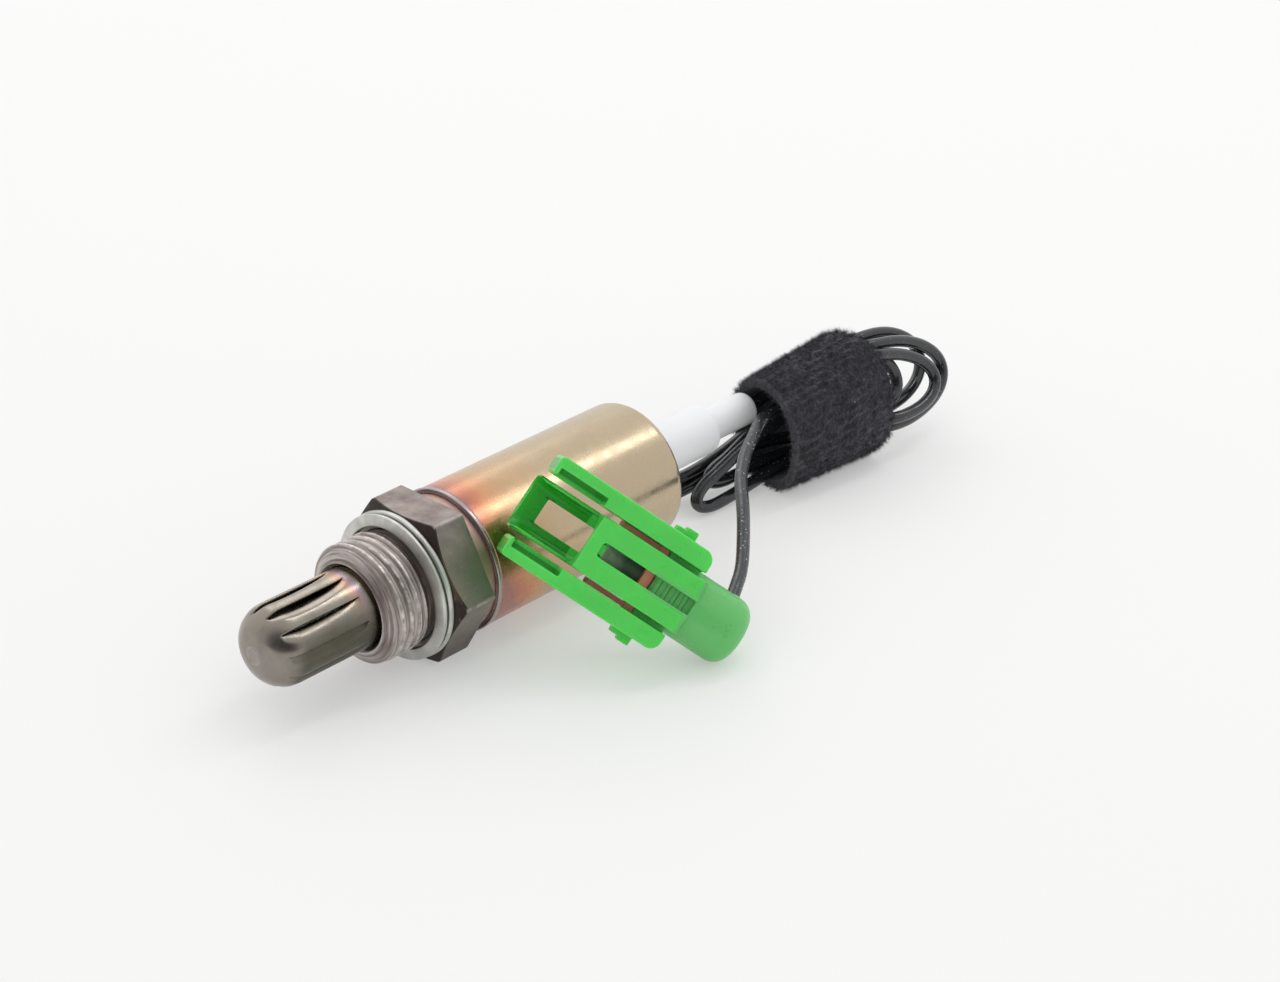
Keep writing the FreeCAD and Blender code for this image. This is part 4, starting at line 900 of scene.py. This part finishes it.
def louvred_tube(context):
    """Like sectors from one slot's edge to the next, each a grid of (x, u): radius less depth(x) times
    (1 - u / width) to a power, where u is the distance round from the flap's edge. The flap's edge is drawn
    back from the slot, and the slot's other edge dips by a small lip."""
    sizes = context.scene.sensor_sizes
    outline = tube_outline()
    x = outline[:, 0][:, None, None]
    radius = outline[:, 1][:, None, None]
    middle = 0.5 * (LOUVRE_FRONT + LOUVRE_BACK)
    half = 0.5 * (LOUVRE_BACK - LOUVRE_FRONT)
    place = np.clip((x - middle) / half, -1.0, 1.0)
    span = np.clip(1.0 - place ** 2, 0.0, 1.0)
    bow = span ** 0.5 * (1.0 - 0.15 * place)
    depth = sizes.louvre_depth / MM * bow
    width = sizes.louvre_width / MM * (0.35 + 0.65 * bow)
    gap = LOUVRE_GAP * span ** 0.4
    across = 26
    share = np.linspace(0.0, 1.0, across)[None, None, :] ** 0.8
    sector = FULL_TURN / LOUVRES
    number = np.arange(LOUVRES)[None, :, None]
    first = math.radians(LOUVRE_FIRST)
    round_size = sector * np.maximum(radius, 0.5)
    from_slot = share * round_size
    to_edge = round_size - from_slot
    on_flap = np.clip(1.0 - to_edge / width, 0.0, 1.0)
    lip = LIP_DEPTH * span * np.clip(1.0 - from_slot / LIP_REACH, 0.0, 1.0) ** 2
    angle = first + sector * (number + share) - gap / np.maximum(radius, 0.5) * on_flap
    reach = radius - depth * on_flap ** PRESS_POWER - lip
    points = np.stack(np.broadcast_arrays(x, -reach * np.cos(angle), reach * np.sin(angle)), axis=-1)
    row, column = np.divmod(grid_faces(len(points), across, False, False), across)
    faces = row * LOUVRES * across + column + across * np.arange(LOUVRES)[:, None, None]
    return points, faces.reshape(-1, 4)


def outward(mesh):
    """Turns an open shell's faces so that most point away from the sensor's axis: the sum of centre times
    normal across the axis is over zero."""
    centres, normals = np.zeros((2, 3 * len(mesh.polygons)))
    mesh.polygons.foreach_get("center", centres)
    mesh.polygons.foreach_get("normal", normals)
    if (centres * normals).reshape(-1, 3)[:, 1:].sum() < 0.0:
        mesh.flip_normals()


def sleeve_shell():
    """Turned wall with a rolled front rim and a rounded rear corner; the end wall's hole is raised to the
    boot by a share that grows evenly from the wall's edge to the hole."""
    rim = SLEEVE_FRONT + SLEEVE_RIM_LENGTH
    bore = SLEEVE_RADIUS - SLEEVE_WALL
    inner_back = SLEEVE_BACK - SLEEVE_WALL
    outline = rounded([
        (SLEEVE_FRONT, bore, 0.1), (SLEEVE_FRONT, SLEEVE_RIM, 0.22), (rim, SLEEVE_RIM, 0.2),
        (rim + 0.3, SLEEVE_RADIUS, 0.15), (SLEEVE_BACK, SLEEVE_RADIUS, SLEEVE_CORNER),
        (SLEEVE_BACK, BOOT_HOLE + 0.3, 0.0), (SLEEVE_BACK, BOOT_HOLE, 0.2), (inner_back, BOOT_HOLE, 0.1),
        (inner_back, bore, SLEEVE_CORNER - SLEEVE_WALL)], steps=9)
    raised = BOOT_HEIGHT * np.clip((bore - 1.2 - outline[:, 1]) / (bore - 1.2 - BOOT_HOLE), 0.0, 1.0)
    return turned(outline, 220, raised)


def stepped_boot():
    """Turned boot with its flange in the sleeve, eased steps and the bore that the lead leaves by."""
    outline = rounded([
        (BOOT_START, 2.0, 0.0), (BOOT_START, BOOT_FLANGE, 0.3), (BOOT_FLANGE_BACK, BOOT_FLANGE, 0.2),
        (BOOT_FLANGE_BACK, BOOT_RADIUS, 0.1), (BOOT_STEP, BOOT_RADIUS, 0.95), (BOOT_STEP, BOOT_TAIL, 0.25),
        (BOOT_END, BOOT_TAIL, 0.95), (BOOT_END, BOOT_BORE, 0.3), (BOOT_END - BOOT_BORE_DEPTH, BOOT_BORE, 0.0),
        (BOOT_FLANGE_BACK, 2.0, 0.0)], steps=10)
    return turned(outline, 140, BOOT_HEIGHT)


def strap_place(around, along, inset):
    """Point of the strap's oval: superellipse of the turn, its centre and halves shifted evenly along X,
    and its mouth slanted so that the far side starts later."""
    cosine, sine = np.cos(around), np.sin(around)
    power = 2.0 / STRAP_ROUNDNESS
    near, far = np.array(STRAP_CENTRES)
    near_half, far_half = np.array(STRAP_HALVES)
    across = np.sign(cosine) * np.abs(cosine) ** power
    upward = np.sign(sine) * np.abs(sine) ** power
    mouth = STRAP_MOUTH + STRAP_SLOPE * near_half[0] * (1.0 + across)
    x = (mouth + (STRAP_END - mouth) * along)[..., None]
    share = (x - STRAP_MOUTH) / (STRAP_END - STRAP_MOUTH)
    half = near_half + share * (far_half - near_half) - inset[..., None]
    sides = near + share * (far - near) + half * np.stack([across, upward], axis=-1)
    return np.concatenate([x, sides], axis=-1)


def strap_ripple(around, along):
    """Relief of the worn cloth, in millimetres: two slow sine waves, a sine across the knitted rows, whose
    phase wanders by two more, and tufts as that row's cosine times a sine along it."""
    rows = STRAP_ROWS * around + 1.1 * np.sin(3.0 * around + 5.0 * along)
    rows = rows + 1.0 * np.sin(17.0 * along + 7.0 * around)
    tufts = np.sin(52.0 * along + 2.0 * np.sin(9.0 * around))
    return (0.08 * np.sin(5.0 * around + 3.0 * along) + 0.06 * np.sin(9.0 * around - 7.0 * along + 1.0)
            + 0.09 * np.sin(rows) + 0.06 * tufts * np.cos(rows))


def strap_ring():
    """Oval ring: its cross section is a flat loop with rounded rims, cut fine along its two long sides and
    carried round the oval, with the ripple on its outer half."""
    around = np.linspace(0.0, FULL_TURN, STRAP_COLUMNS, endpoint=False)[None, :]
    loop = rounded([(x, depth, STRAP_EDGE) for x, depth in (
        (0.0, 0.0), (STRAP_WIDTH, 0.0), (STRAP_WIDTH, STRAP_WALL), (0.0, STRAP_WALL))])
    following = np.roll(loop, -1, axis=0)
    counts = np.where(np.abs(following - loop)[:, 0] > 0.5 * STRAP_WIDTH, STRAP_STEPS, 1)
    edge = np.concatenate([np.linspace(start, end, count, endpoint=False)
                           for start, end, count in zip(loop, following, counts)])
    along = edge[:, :1] / STRAP_WIDTH
    inset = edge[:, 1:] - strap_ripple(around, along) * (edge[:, 1:] < 0.5 * STRAP_WALL)
    points = strap_place(*np.broadcast_arrays(around, along, inset))
    return points, grid_faces(len(points), STRAP_COLUMNS, True, True)


def strap_nap(context):
    """Fibres on the strap's outside and rims, in tufts that lean together: each is a needle of four faces
    from three points root + r (cos t side + sin t other) to its tip, root + length x way."""
    sizes = context.scene.sensor_sizes
    count = sizes.nap_count
    draw = np.random.default_rng(7)
    tufts = count // TUFT_FIBRES
    tuft = np.arange(count) % tufts
    row = draw.integers(0, int(STRAP_ROWS), tufts) + draw.normal(0.0, 0.19, tufts)
    around = ((row + 0.25) * FULL_TURN / STRAP_ROWS)[tuft] + draw.normal(0.0, 0.018, count)
    along = np.clip(draw.uniform(-0.01, 1.01, tufts)[tuft] + draw.normal(0.0, 0.008, count), 0.0, 1.0)
    at_rim = draw.uniform(0.0, 1.0, count) < RIM_FIBRES
    along = np.where(at_rim, np.round(along), along)
    inset = np.where(at_rim, draw.uniform(0.0, STRAP_WALL - 0.1, count), 0.06 - strap_ripple(around, along))
    root = strap_place(around, along, inset)
    outward_way = strap_place(around, along, inset - 1e-3) - root
    outward_way /= np.linalg.norm(outward_way, axis=1, keepdims=True)
    rim_way = np.zeros_like(root)
    rim_way[:, 0] = np.where(along < 0.5, -1.0, 1.0)
    way = np.where(at_rim[:, None], 0.8 * rim_way + 0.5 * outward_way, outward_way)
    way = way + draw.normal(0.0, TUFT_LEAN, (tufts, 3))[tuft] + draw.normal(0.0, FIBRE_LEAN, root.shape)
    way /= np.linalg.norm(way, axis=1, keepdims=True)
    length = sizes.nap_length / MM * draw.uniform(0.35, 1.0, count)[:, None]
    side = np.cross(way, draw.normal(0.0, 1.0, root.shape))
    side /= np.linalg.norm(side, axis=1, keepdims=True)
    other = np.cross(way, side)
    corners = [root + FIBRE_RADIUS * (math.cos(turn) * side + math.sin(turn) * other)
               for turn in (0.0, FULL_TURN / 3.0, 2.0 * FULL_TURN / 3.0)]
    points = np.stack(corners + [root + way * length], axis=1)
    triangles = np.array([(0, 2, 1), (0, 1, 3), (1, 2, 3), (2, 0, 3)])
    return points, (4 * np.arange(count)[:, None, None] + triangles).reshape(-1, 3)


def half_turn(start, apex, end):
    """Points of one half turn of the hank: middle + (apex - middle) sin t + (start - middle) cos t."""
    start, apex, end = np.array((start, apex, end))
    middle = 0.5 * (start + end)
    turn = np.linspace(0.0, math.pi, TURN_POINTS)[:, None]
    return middle + (apex - middle) * np.sin(turn) + (start - middle) * np.cos(turn)


def lead_route():
    """Control points of the whole lead, from the boot through the bundle to the connector."""
    points = []
    for kind, spots in BUNDLE:
        points.append(half_turn(*spots) if kind == "turn" else np.array(spots))
    points.append(np.array(LEAD_TAIL))
    return np.concatenate(points)


def connector_axes():
    """The connector's own axes as columns: turned about Z, then Y, then X."""
    yaw, pitch, roll = (math.radians(angle) for angle in CONNECTOR_TURN)
    turn = Matrix.Rotation(yaw, 3, "Z") @ Matrix.Rotation(pitch, 3, "Y") @ Matrix.Rotation(roll, 3, "X")
    return np.array(turn)


def settle_socket(x, y, z):
    """Squares the open socket's round trough: radius over (|cos|^n + |sin|^n)^(1/n), fading toward the tower;
    opens the window in the trough's floor forward and wide with square corners: each corner's arc is carried
    out to the square round it; lengthens the prongs and lowers the ribs between them to a share."""
    reach = np.hypot(y, z)
    trough = (reach > SOCKET_REACH[0]) & (reach < SOCKET_REACH[1]) & (z < 0.0)
    share = np.where(trough, np.clip((SOCKET_END + SOCKET_BLEND - x) / SOCKET_BLEND, 0.0, 1.0), 0.0)
    power = SOCKET_SQUARENESS
    safe = np.maximum(reach, 1e-6)
    square = ((np.abs(y) / safe) ** power + (np.abs(z) / safe) ** power + 1e-12) ** (-1.0 / power)
    grow = 1.0 + share * (square - 1.0)
    forward = WINDOW_START + WINDOW_CORNER - x
    sideways = np.abs(y) - (WINDOW_HALF - WINDOW_CORNER)
    arm = np.hypot(forward, sideways)
    corner = trough & (forward > 0.0) & (sideways > 0.0) & (np.abs(arm - WINDOW_CORNER) < ON_CORNER)
    reach_out = np.maximum(np.abs(forward), np.abs(sideways))
    stretch = np.where(corner, WINDOW_CORNER / np.maximum(reach_out, 1e-6), 1.0)
    x = np.where(corner, WINDOW_START + WINDOW_CORNER - forward * stretch, x)
    y = np.where(corner, np.sign(y) * (WINDOW_HALF - WINDOW_CORNER + sideways * stretch), y)
    front_edge = trough & (np.abs(x - WINDOW_START) < ON_EDGE) & (np.abs(y) < WINDOW_HALF + ON_EDGE)
    x = x - WINDOW_FORWARD * front_edge
    y, z = y * grow, z * grow
    wider = np.interp(np.abs(y), (0.0, WINDOW_HALF, TROUGH_FLOOR_HALF),
                      (0.0, WINDOW_SEEN_HALF, TROUGH_FLOOR_HALF))
    on_floor = trough & (z < TROUGH_FLOOR_TOP) & (np.abs(y) < TROUGH_FLOOR_HALF)
    y = np.where(on_floor, np.sign(y) * wider, y)
    tip = (np.abs(x - PRONG_END) < ON_TIP) & (np.abs(y) < SOCKET_REACH[1]) & (z > PRONG_LEVEL)
    x = x + PRONG_MORE * tip
    rib = (x > STATIONS_DRAWN[2]) & (x < RIB_END) & (np.abs(y) < RIB_HALF)
    rib = rib & (z > RIB_FLOOR) & (z < RIB_FLOOR + RIB_HEIGHT)
    return x, y, np.where(rib, RIB_FLOOR + RIB_SHARE * (z - RIB_FLOOR), z)


def settle(local, with_socket):
    """Points of the connector, in its own frame, moved along it in straight stretches from the stations
    that the solids have to those that the moulding shows, after the socket is settled."""
    x, y, z = settle_socket(*local.T) if with_socket else local.T
    return np.stack([np.interp(x, STATIONS_DRAWN, STATIONS_SEEN), y, z], axis=-1)


def cut_socket(work):
    """Cuts the copy across where the socket's shape changes, so that it can bend there."""
    axes = connector_axes()
    for station in (2.5, 5.5, 8.5, SOCKET_END, SOCKET_END + SOCKET_BLEND):
        place = (np.array(CONNECTOR_ORIGIN) + axes @ np.array([station, 0.0, 0.0])) * MM
        geometry = work.verts[:] + work.edges[:] + work.faces[:]
        bmesh.ops.bisect_plane(work, geom=geometry, dist=1e-7, plane_co=place, plane_no=axes[:, 0])


def settle_mesh(mesh, with_socket):
    """Moves all the copy's points in the connector's own frame."""
    axes = connector_axes()
    origin = np.array(CONNECTOR_ORIGIN)
    points = np.zeros(len(mesh.vertices) * 3)
    mesh.vertices.foreach_get("co", points)
    local = (points.reshape(-1, 3) / MM - origin) @ axes
    moved = (origin + settle(local, with_socket) @ axes.T) * MM
    mesh.vertices.foreach_set("co", moved.ravel())


def moulded_copy(name, source, context, slot, width):
    """Copy of a construction solid's mesh with merged points, whole flat faces and eased edges."""
    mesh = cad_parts[source].data.copy()
    mesh.name = name
    mesh.materials.clear()
    work = bmesh.new()
    work.from_mesh(mesh)
    bmesh.ops.remove_doubles(work, verts=work.verts, dist=1e-6)
    bmesh.ops.dissolve_limit(work, angle_limit=math.radians(1.0), verts=work.verts, edges=work.edges)
    with_socket = source == "connector_housing"
    if with_socket:
        cut_socket(work)
    work.to_mesh(mesh)
    work.free()
    settle_mesh(mesh, with_socket)
    piece = finish_mesh(name, mesh, context, slot, 32.0)
    eased = piece.modifiers.new("eased_edges", "BEVEL")
    eased.width = width
    eased.segments = 3
    eased.limit_method = "ANGLE"
    eased.angle_limit = math.radians(35.0)
    eased.use_clamp_overlap = False
    eased.harden_normals = True
    return piece


class SENSOR_OT_housing(bpy.types.Operator):
    """Builds the threaded steel housing and its folded gasket"""

    bl_idname = "sensor.housing"
    bl_label = "Housing and gasket"

    def execute(self, context):
        piece = mesh_piece("threaded_housing", threaded_housing(context), context, "housing_steel", 32.0)
        dress(piece, "housing_steel", "steel_housing")
        piece = mesh_piece("folded_gasket", folded_gasket(), context, "gasket_steel", 40.0)
        dress(piece, "gasket_steel", "sealing_gasket")
        return {"FINISHED"}


class SENSOR_OT_tube(bpy.types.Operator):
    """Builds the louvred protection tube"""

    bl_idname = "sensor.tube"
    bl_label = "Protection tube"

    def execute(self, context):
        piece = mesh_piece("louvred_tube", louvred_tube(context), context, "tube_steel", 50.0, closed=False)
        outward(piece.data)
        wall = piece.modifiers.new("wall", "SOLIDIFY")
        wall.thickness = TUBE_WALL * MM
        wall.offset = -1.0
        wall.use_even_offset = False
        dress(piece, "tube_steel", "protection_tube")
        return {"FINISHED"}


class SENSOR_OT_sleeve(bpy.types.Operator):
    """Builds the heat-tinted sleeve and the white boot"""

    bl_idname = "sensor.sleeve"
    bl_label = "Sleeve and boot"

    def execute(self, context):
        piece = mesh_piece("sleeve_shell", sleeve_shell(), context, "sleeve_steel", 40.0)
        dress(piece, "sleeve_steel", "protective_sleeve")
        piece = mesh_piece("stepped_boot", stepped_boot(), context, "boot_white", 50.0)
        dress(piece, "boot_white", "insulating_boot")
        return {"FINISHED"}


class SENSOR_OT_lead(bpy.types.Operator):
    """Builds the black lead along its whole route"""

    bl_idname = "sensor.lead"
    bl_label = "Lead"

    def execute(self, context):
        route = lead_route() * MM
        diameter = context.scene.sensor_sizes.lead_diameter
        curve = bpy.data.curves.new("bundled_lead", "CURVE")
        curve.dimensions = "3D"
        curve.bevel_depth = 0.5 * diameter
        curve.bevel_resolution = 5
        curve.resolution_u = 6
        curve.use_fill_caps = True
        spline = curve.splines.new("NURBS")
        spline.points.add(len(route) - 1)
        weights = np.ones((len(route), 1))
        spline.points.foreach_set("co", np.concatenate([route, weights], axis=1).ravel())
        spline.order_u = 3
        spline.use_endpoint_u = True
        curve.materials.append(material_of("lead_jacket", context))
        lead = bpy.data.objects.new("bundled_lead", curve)
        context.scene.collection.objects.link(lead)
        dress(lead, "lead_jacket", "wire_hank", "lead_tail")
        end = [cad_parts[name] for name in ("terminal_wire_grip", "lead_in_hood")]
        end += [bpy.data.objects[name] for name in ("moulded_connector", "lock_clip", "rolled_terminal")]
        return {"FINISHED"}


class SENSOR_OT_strap(bpy.types.Operator):
    """Builds the hook-and-loop strap and its nap"""

    bl_idname = "sensor.strap"
    bl_label = "Strap"

    def execute(self, context):
        ring = mesh_piece("bundle_strap", strap_ring(), context, "strap_fabric", 80.0)
        dress(ring, "strap_fabric", "wire_strap")
        nap = mesh_piece("strap_nap", strap_nap(context), context, "strap_fabric", 80.0, closed=False)
        dress(nap, "strap_fabric")
        return {"FINISHED"}


class SENSOR_OT_connector(bpy.types.Operator):
    """Builds the connector's moulded housing, its clip and its terminal"""

    bl_idname = "sensor.connector"
    bl_label = "Connector"

    def execute(self, context):
        width = context.scene.sensor_sizes.edge_round
        piece = moulded_copy("moulded_connector", "connector_housing", context, "connector_green", width)
        dress(piece, "connector_green", "connector_housing")
        piece = moulded_copy("lock_clip", "terminal_lock_clip", context, "clip_brown", 0.6 * width)
        dress(piece, "clip_brown", "terminal_lock_clip")
        piece = moulded_copy("rolled_terminal", "receptacle_terminal", context, "terminal_metal", 0.3 * width)
        dress(piece, "terminal_metal", "receptacle_terminal")
        return {"FINISHED"}


class SENSOR_OT_inside(bpy.types.Operator):
    """Gives the construction solids that stay their finish"""

    bl_idname = "sensor.inside"
    bl_label = "Inner pieces"

    def execute(self, context):
        finishes = {
            "ceramic_element": "element_ceramic",
            "element_seal_ring": "gasket_steel",
            "contact_element": "contact_metal",
            "ceramic_support_tube": "support_ceramic",
            "disc_spring": "contact_metal",
            "spring_plate": "contact_metal",
            "crimp_ferrule": "contact_metal",
            "lead_in_boot": "lead_jacket",
            "lead_in_hood": "lead_jacket",
            "terminal_wire_grip": "terminal_metal",
        }
        for name, slot in finishes.items():
            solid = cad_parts[name]
            solid.data.materials.clear()
            solid.data.materials.append(material_of(slot, context))
        return {"FINISHED"}


def lamp(context, name, place, aim, size, watts):
    """Oblong soft lamp at a place in metres, turned to face its aim."""
    light = bpy.data.lights.new(name, "AREA")
    light.shape = "RECTANGLE"
    light.size, light.size_y = size
    light.energy = watts
    holder = bpy.data.objects.new(name, light)
    context.scene.collection.objects.link(holder)
    back = np.array(place) - np.array(aim)
    back = back / np.linalg.norm(back)
    right = np.cross((0.0, 1.0, 0.0) if abs(back[2]) > 0.95 else (0.0, 0.0, 1.0), back)
    right = right / np.linalg.norm(right)
    up = np.cross(back, right)
    holder.matrix_world = axes_matrix(right, up, back, place)


def axes_matrix(right, up, back, place):
    """Placing matrix whose columns are three axes and a place."""
    rows = [[right[i], up[i], back[i], place[i]] for i in range(3)]
    return Matrix(rows + [[0.0, 0.0, 0.0, 1.0]])


class SENSOR_OT_stage(bpy.types.Operator):
    """Sets the pale floor, the soft lamps, the world and the camera"""

    bl_idname = "sensor.stage"
    bl_label = "Stage"

    def execute(self, context):
        scene = context.scene
        scene.view_settings.view_transform = "Standard"
        self.floor(context)
        self.world(scene)
        lamp(context, "strip_lamp", *STRIP_LAMP)
        lamp(context, "back_lamp", *BACK_LAMP)
        camera = bpy.data.cameras.new("view_camera")
        camera.lens = CAMERA_LENS
        camera.sensor_width = CAMERA_SENSOR
        camera.clip_end = 50.0
        holder = bpy.data.objects.new("view_camera", camera)
        scene.collection.objects.link(holder)
        place = [value * MM for value in CAMERA_PLACE]
        holder.matrix_world = axes_matrix(CAMERA_RIGHT, CAMERA_UP, CAMERA_BACK, place)
        scene.camera = holder
        return {"FINISHED"}

    def floor(self, context):
        """Wide pale floor that glows a little, so that shadows on it stay light."""
        mesh = bpy.data.meshes.new("pale_floor")
        corners = [(FLOOR_HALF * x, FLOOR_HALF * y, FLOOR_LEVEL * MM)
                   for x, y in ((-1.0, -1.0), (1.0, -1.0), (1.0, 1.0), (-1.0, 1.0))]
        mesh.from_pydata(corners, [], [(0, 1, 2, 3)])
        floor = bpy.data.objects.new("pale_floor", mesh)
        context.scene.collection.objects.link(floor)
        material, tree, shader, place = new_material("pale_floor", {
            "Roughness": 0.7, "Specular IOR Level": 0.15})
        pale = context.scene.sensor_colours.floor
        colour = blended(tree, noise(tree, place, 3.0, 2.0), opaque(pale), opaque(pale, 0.985))
        feed(tree, shader, colour, None)
        glow = node(tree, "ShaderNodeEmission", {"Color": (0.985, 0.985, 0.98, 1.0), "Strength": 1.0})
        path = node(tree, "ShaderNodeLightPath").outputs
        seen = maths(tree, "ADD", path["Is Camera Ray"], path["Is Glossy Ray"], clamp=True)
        share = product(tree, seen, FLOOR_GLOW)
        mixed = node(tree, "ShaderNodeMixShader", {0: share, 1: shader.outputs[0], 2: glow.outputs[0]})
        output = next(part for part in tree.nodes if part.type == "OUTPUT_MATERIAL")
        tree.links.new(mixed.outputs[0], output.inputs["Surface"])
        mesh.materials.append(material)

    def world(self, scene):
        """Even pale surroundings with a dark patch low down on the viewer's side."""
        world = bpy.data.worlds.new("pale_room")
        scene.world = world
        world.use_nodes = True
        tree = world.node_tree
        tree.nodes.clear()
        way = node(tree, "ShaderNodeTexCoord").outputs["Generated"]
        toward = node(tree, "ShaderNodeVectorMath", {0: way, 1: DARK_SIDE}, operation="DOT_PRODUCT")
        level = ramp(tree, mapped(tree, toward.outputs["Value"], -1.0, 1.0), grey_stops(
            (0.0, 1.0), (0.5, 0.86), (0.72, 0.74), (0.80, 0.52), (0.88, 0.24), (0.95, 0.10)))
        mirrored, even, white = (
            node(tree, "ShaderNodeBackground", {"Color": colour, "Strength": 1.0}).outputs[0]
            for colour in (level, opaque((0.86, 0.86, 0.86)), opaque((0.97, 0.97, 0.97))))
        path = node(tree, "ShaderNodeLightPath").outputs
        room = node(tree, "ShaderNodeMixShader", {0: path["Is Glossy Ray"], 1: even, 2: mirrored})
        mixed = node(tree, "ShaderNodeMixShader", {0: path["Is Camera Ray"], 1: room.outputs[0], 2: white})
        node(tree, "ShaderNodeOutputWorld", {"Surface": mixed.outputs[0]})


class SENSOR_PT_panel(bpy.types.Panel):
    """Lists the steps that build the sensor"""

    bl_idname = "SENSOR_PT_panel"
    bl_label = "Oxygen sensor"
    bl_space_type = "VIEW_3D"
    bl_region_type = "UI"
    bl_category = "Sensor"

    def draw(self, context):
        """Shows a button for each step and a field for each value."""
        layout = self.layout
        for step in STEPS:
            layout.operator(step.bl_idname)
        for group in (context.scene.sensor_sizes, context.scene.sensor_colours):
            column = layout.column()
            for key in group.__annotations__:
                column.prop(group, key)


STEPS = (
    SENSOR_OT_connector,
    SENSOR_OT_lead,
    SENSOR_OT_housing,
    SENSOR_OT_tube,
    SENSOR_OT_sleeve,
    SENSOR_OT_strap,
    SENSOR_OT_inside,
    SENSOR_OT_stage,
)
CLASSES = (SensorSizes, SensorColours) + STEPS + (SENSOR_PT_panel,)


def register():
    """Registers the classes and hangs the sizes and colours on the scene."""
    for cls in CLASSES:
        bpy.utils.register_class(cls)
    bpy.types.Scene.sensor_sizes = bpy.props.PointerProperty(type=SensorSizes)
    bpy.types.Scene.sensor_colours = bpy.props.PointerProperty(type=SensorColours)


def unregister():
    """Takes away what register added."""
    del bpy.types.Scene.sensor_sizes
    del bpy.types.Scene.sensor_colours
    for cls in reversed(CLASSES):
        bpy.utils.unregister_class(cls)


def main():
    register()
    bpy.ops.sensor.connector()
    bpy.ops.sensor.lead()
    bpy.ops.sensor.housing()
    bpy.ops.sensor.tube()
    bpy.ops.sensor.sleeve()
    bpy.ops.sensor.strap()
    bpy.ops.sensor.inside()
    bpy.ops.sensor.stage()


if __name__ == "__main__":
    main()
